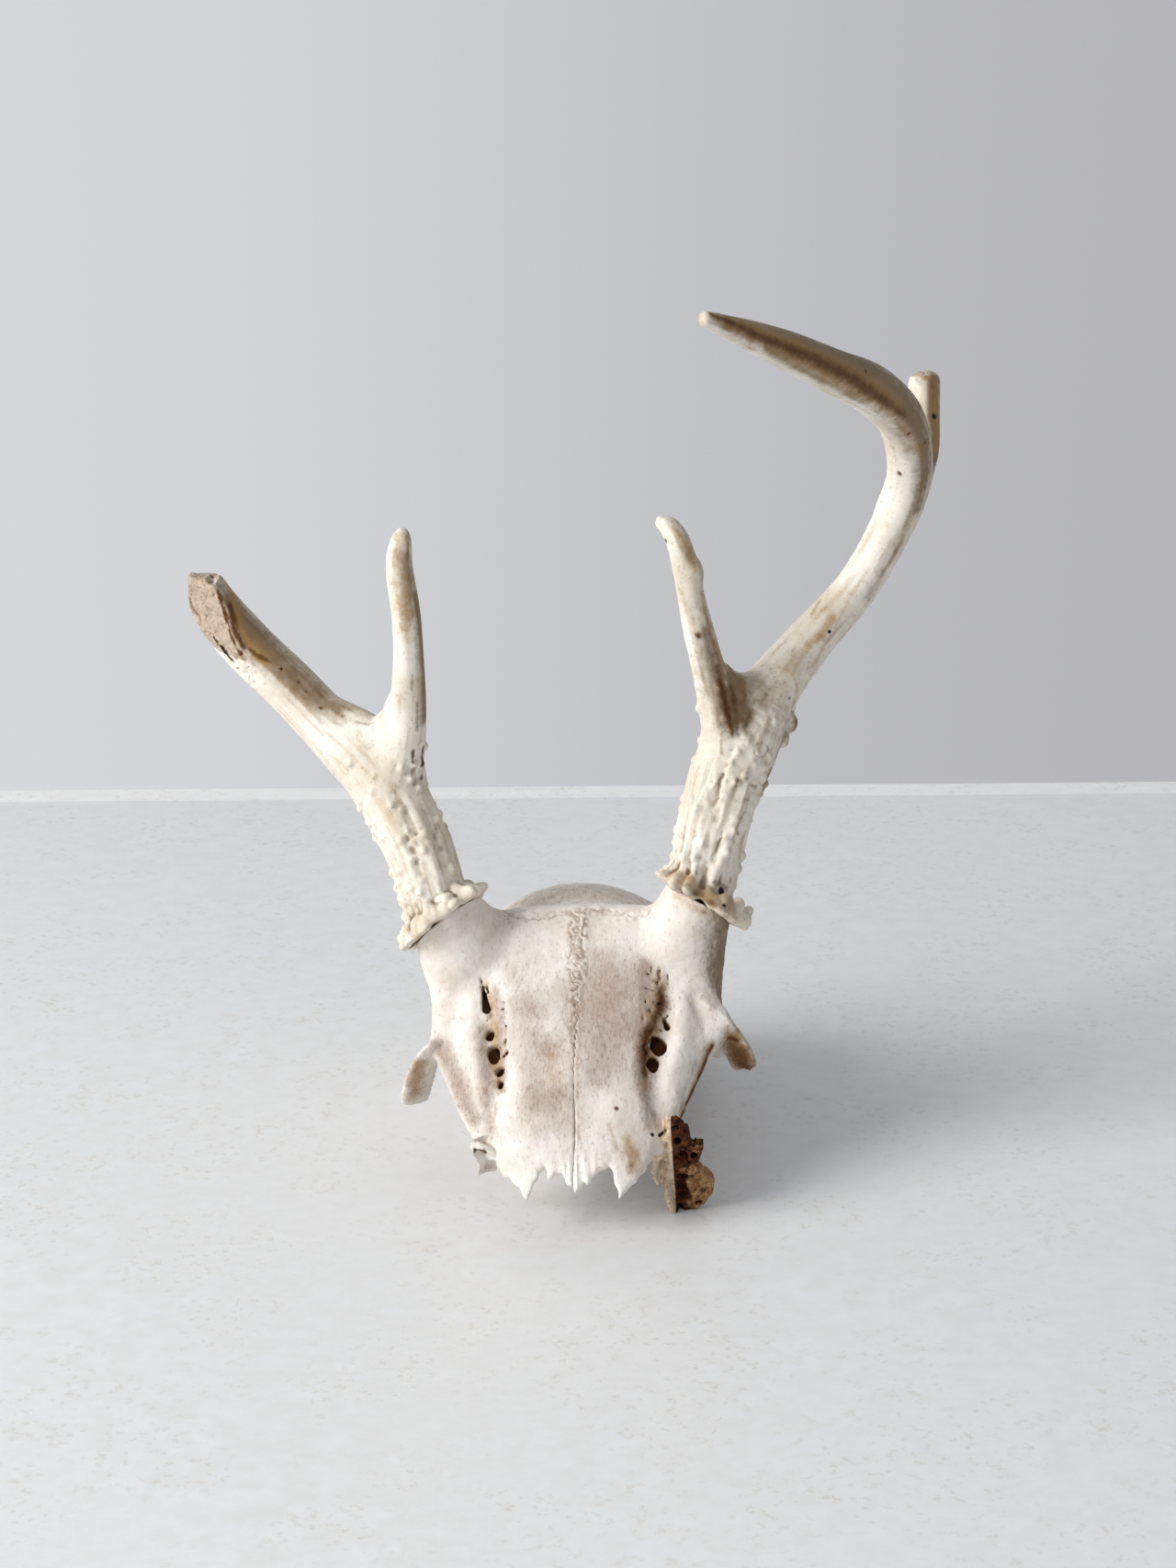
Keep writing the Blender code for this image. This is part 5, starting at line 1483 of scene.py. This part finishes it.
knobRing, pearlScatter = knobTree(horn), pearlTree(horn)
antlerStrokes = {
    "left": {
        "shade": {
            0.35: [[(742, 600, 12), (748, 640, 12), (756, 680, 12)], [(785, 795, 8), (793, 830, 8), (801, 850, 7)]],
            0.4: [[(992, 560, 9), (975, 600, 8), (945, 650, 8)]],
            0.5: [[(800, 760, 24), (830, 760, 20)], [(1003, 412, 9), (1000, 442, 8)]],
            0.6: [[(868, 785, 10), (850, 820, 12), (832, 858, 12), (815, 910, 12)]],
            0.8: [[(766, 690, 12), (774, 740, 17), (788, 785, 16)], [(740, 965, 12), (757, 975, 13), (775, 972, 13),
                (795, 985, 11)], [(835, 380, 8), (870, 399, 10), (905, 417, 10), (940, 436, 10)]],
            0.85: [[(790, 352, 8), (850, 372, 14), (905, 388, 20), (945, 408, 26), (978, 440, 26), (1000, 485, 20)]],
            0.9: [[(1004, 490, 14), (1003, 525, 13), (996, 555, 9)], [(1012, 408, 7), (1017, 450, 8),
                (1018, 500, 7)]],
            1.1: [[(800, 745, 17), (806, 778, 16)]],
        },
        "tan": {
            0.3: [[(812, 737, 5), (800, 760, 8)]],
            0.5: [[(783, 728, 6), (788, 755, 10), (795, 790, 7)], [(750, 846, 6)], [(968, 445, 10), (990, 475, 8),
                (1004, 500, 5)], [(945, 620, 3), (925, 650, 4), (905, 690, 3), (885, 725, 3)], [(1008, 560, 3),
                (985, 600, 3)]],
            0.6: [[(735, 905, 5), (732, 932, 5)], [(848, 726, 3), (862, 733, 3), (868, 750, 3), (862, 772, 3)],
                [(714, 566, 3)]],
            0.7: [[(763, 645, 3), (769, 672, 3), (777, 700, 4), (785, 718, 4)], [(730, 955, 9), (750, 955, 9),
                (775, 985, 9), (800, 998, 6)], [(1000, 408, 5), (1010, 412, 5)]],
            0.8: [[(892, 655, 4), (884, 668, 4)], [(760, 346, 12)]],
            0.85: [[(906, 672, 7), (893, 692, 7), (878, 702, 6)]],
            0.9: [[(734, 575, 4), (750, 598, 5), (757, 620, 4)], [(1013, 406, 6), (1018, 440, 7), (1018, 490, 6)]],
            1.0: [[(776, 343, 6), (800, 352, 10), (830, 366, 14), (862, 380, 15), (890, 394, 16), (918, 409, 17),
                (948, 427, 16), (975, 446, 11)]],
        },
        "stain": {
            0.5: [[(845, 820, 4), (830, 852, 5)], [(768, 660, 2), (773, 690, 2.5), (780, 712, 3)]],
            0.6: [[(821, 762, 3), (812, 792, 3)], [(784, 738, 5), (788, 762, 6), (796, 792, 4)], [(812, 738, 3)],
                [(785, 800, 2.5), (785, 820, 2.5)], [(794, 803, 2.4), (794, 832, 2.8)], [(800, 785, 2.2),
                (800, 804, 2.2)], [(809, 872, 3)], [(800, 872, 3)], [(789, 894, 4)], [(866, 786, 4)],
                [(755, 612, 3)], [(1014, 408, 3), (1014, 422, 3)], [(778, 960, 5), (790, 968, 5)], [(828, 808, 1.7),
                (834, 811, 1.7), (836, 817, 1.7), (833, 823, 1.7), (827, 825, 1.7), (821, 821, 1.7), (821, 812, 1.7),
                (828, 808, 1.7)]],
            0.7: [[(801, 768, 3), (803, 800, 3)], [(757, 972, 5), (764, 979, 5), (788, 990, 5)], [(791, 851, 3)],
                [(813, 848, 3)], [(801, 902, 3), (805, 909, 3)], [(724, 949, 3.5)]],
            0.8: [[(796, 748, 6), (800, 766, 8), (803, 786, 6)], [(835, 848, 3)], [(859, 760, 2.4)],
                [(773, 940, 2.6)], [(935, 415, 2)], [(993, 448, 2)], [(749, 949, 4)], [(758, 951, 3.5)]],
            0.9: [[(724, 589, 2.8)], [(760, 692, 3.8)], [(776, 343, 4), (800, 353, 6), (826, 366, 8), (856, 378, 9),
                (884, 390, 10), (912, 404, 11), (938, 419, 11), (962, 436, 9), (985, 453, 5)], [(942, 404, 3.2)],
                [(979, 515, 3.2)], [(989, 472, 2.6)], [(1007, 481, 2.2)]],
            0.95: [[(781, 726, 4), (787, 750, 8), (792, 775, 8), (798, 802, 4)]],
        },
        # dark marks: painted shade in the holes of the burr, and the darkest spots
        "dark": {
            0.8: [[(804, 973, 4)]],
            0.9: [[(785, 970, 4.2)], [(788, 986, 2.6)], [(903, 688, 2.4)], [(1017, 453, 3.6)]],
            1.0: [[(799, 986, 2.4)]],
        },
    },
    "right": {
        "shade": {
            0.6: [[(440, 610, 10), (442, 670, 12)]],
            0.7: [[(452, 650, 7), (459, 700, 7), (462, 780, 8)]],
            0.75: [[(252, 658, 14), (282, 706, 20), (322, 744, 18), (368, 774, 10)]],
        },
        "tan": {
            0.5: [[(262, 690, 12), (290, 712, 12)], [(352, 794, 2.4), (380, 820, 3), (407, 848, 3)]],
            0.6: [[(462, 820, 5), (470, 860, 4), (484, 900, 5), (498, 930, 5)], [(214, 640, 9), (236, 690, 8)]],
            0.65: [[(437, 582, 12), (434, 620, 16), (437, 660, 16), (443, 695, 12)]],
            0.9: [[(250, 640, 9), (256, 675, 10), (268, 702, 9), (290, 722, 7)]],
        },
        "stain": {
            0.5: [[(446, 917, 4)], [(480, 924, 5)], [(455, 975, 3.5)], [(430, 862, 2), (434, 878, 2)],
                [(447, 868, 2.4)], [(443, 585, 3.5), (444, 602, 3.5)], [(258, 712, 4), (275, 722, 4)]],
            0.55: [[(458, 903, 3.5)], [(474, 899, 4), (474, 912, 5)]],
            0.6: [[(409, 904, 2.4)], [(388, 786, 2.6), (400, 789, 2.4), (408, 786, 2)], [(420, 811, 2)],
                [(451, 684, 3)], [(449, 735, 2.4), (448, 751, 2.4)], [(454, 765, 2.4), (454, 795, 2.8)]],
            0.7: [[(206, 652, 3.5), (212, 665, 4.5), (218, 676, 3)], [(373, 780, 2.6)], [(332, 808, 2.6)],
                [(364, 843, 2.4)]],
            0.8: [[(272, 707, 3), (283, 715, 3.5), (295, 721, 2.2)], [(325, 743, 2.8)], [(333, 753, 2.4)],
                [(349, 771, 2.4)]],
            0.9: [[(450, 817, 2.4), (450, 830, 2.6)], [(459, 847, 4.5)], [(312, 710, 2.2)]],
            0.95: [[(461, 814, 3), (461, 833, 4)]],
            # the last of these runs under the burr: painted shadow there, over a brown line
            1.0: [[(247, 634, 5), (250, 660, 6), (256, 688, 6), (265, 705, 5)], [(237, 643, 2.4), (244, 664, 3),
                (250, 688, 3), (262, 712, 2.6)], [(449, 1031, 4.6), (470, 1012, 4.8), (493, 996, 4.8),
                (527, 978, 4.4)]],
        },
        # dark marks: painted shade in the slit and at the notch of the broken end, and a dark spot
        "dark": {
            0.8: [[(203, 627, 2.4), (212, 625, 2.2)], [(220, 624, 2), (231, 629, 2)]],
            0.9: [[(306, 728, 2.2)]],
            1.0: [[(233, 694, 1.8), (243, 706, 2.6), (253, 719, 1.8)]],
        },
    },
}
for side in antlers:
    makeAntler(side, antlerStrokes[side])
print("antlers finished")

# the white of the slab's far edge is a painted highlight, and the greys behind the slab glow as painted light, lighter
# on the left
studio = {
    "slab": rgb(236, 237, 238), "slabEdgeHighlight": rgb(255, 255, 255), "fleck": rgb(196, 188, 172),
    "behindLeft": rgb(214, 215, 218), "behindRight": rgb(182, 182, 187), "behindFrom": -0.87, "behindWide": 0.19,
    "edgeAt": 0.368, "edgeWide": 0.016, "edgeTilt": 0.024, "roughness": 0.3, "near": -2.5, "reach": 9.0,
    "world": rgb(225, 227, 231), "worldStrength": 0.54,
    "key": {"at": (-1.9, -0.9, 1.2), "towards": (0, 0, 0.1), "size": 1.5, "power": 59, "colour": (1.0, 0.99, 0.975)},
    "fill": {"at": (1.0, -2.4, 0.9), "towards": (0, 0, 0.1), "size": 1.6, "power": 3, "colour": (0.94, 0.97, 1.0)},
}


def slabMaterial(name, tint):
    material, wires, shader = newMaterial(name)
    mottle = wires.noise(9, 5, 0.7)
    patches = wires.noise(30, 2, 0.5, shift=2.0).between(0.35, 0.6)
    flecks = wires.noise(2.6, 3, 0.6, shift=5.0).between(0.55, 0.68) * patches
    colour = wires.mixed(mottle.between(0.3, 0.7) * 0.12 + flecks * 0.3, tint, studio["fleck"])
    plug(shader, {"Base Color": colour, "Roughness": studio["roughness"] + (mottle - 0.5) * 0.1})
    return material


def glowingBackMaterial(name):
    # painted light: a glowing even grey that is lighter on the left, towards the key light
    material, wires, shader = newMaterial(name)
    place = wires.node("ShaderNodeTexCoord", out="Object")
    across, back = (wires.node("ShaderNodeSeparateXYZ", {}, {0: place}, out=axis) for axis in ("X", "Y"))
    side = (across / (back - studio["behindFrom"])).between(-studio["behindWide"], studio["behindWide"])
    plug(shader, {"Emission Color": wires.mixed(side, studio["behindLeft"], studio["behindRight"]),
                  "Emission Strength": 1.0, "Base Color": (0, 0, 0, 1), "Specular IOR Level": 0.0})
    return material


def makeFloor():
    # a pale slab, its far edge painted white as a highlight, and a greyer stretch behind it that glows as painted
    # light
    edges = [studio["near"], studio["edgeAt"], studio["edgeAt"] + studio["edgeWide"], studio["reach"]]
    reach = studio["reach"]
    mesh = bpy.data.meshes.new("floor")
    mesh.from_pydata([(side * reach, y + side * reach * studio["edgeTilt"], 0) for y in edges for side in (-1, 1)], [],
                     [(2 * k, 2 * k + 1, 2 * k + 3, 2 * k + 2) for k in range(3)])
    for material in (slabMaterial("slab", studio["slab"]), slabMaterial("slab edge highlight", studio["slabEdgeHighlight"]),
                     glowingBackMaterial("glowing backdrop")):
        mesh.materials.append(material)
    for face, polygon in enumerate(mesh.polygons):
        polygon.material_index = face
    linked("floor", mesh)


def makeLight(name, place):
    data = bpy.data.lights.new(name, "AREA")
    data.shape, data.size, data.energy, data.color = "DISK", place["size"], place["power"], place["colour"]
    obj = linked(name, data)
    obj.location = place["at"]
    obj.rotation_euler = (Vector(place["towards"]) - Vector(place["at"])).to_track_quat("-Z", "Y").to_euler()


makeFloor()
makeLight("key", studio["key"])
makeLight("fill", studio["fill"])
world = bpy.data.worlds.new("studio")
world.use_nodes = True
plug(world.node_tree.nodes["Background"], {"Color": studio["world"], "Strength": studio["worldStrength"]})
bpy.context.scene.world = world
bpy.context.scene.view_settings.view_transform = "Standard"
print("studio finished")
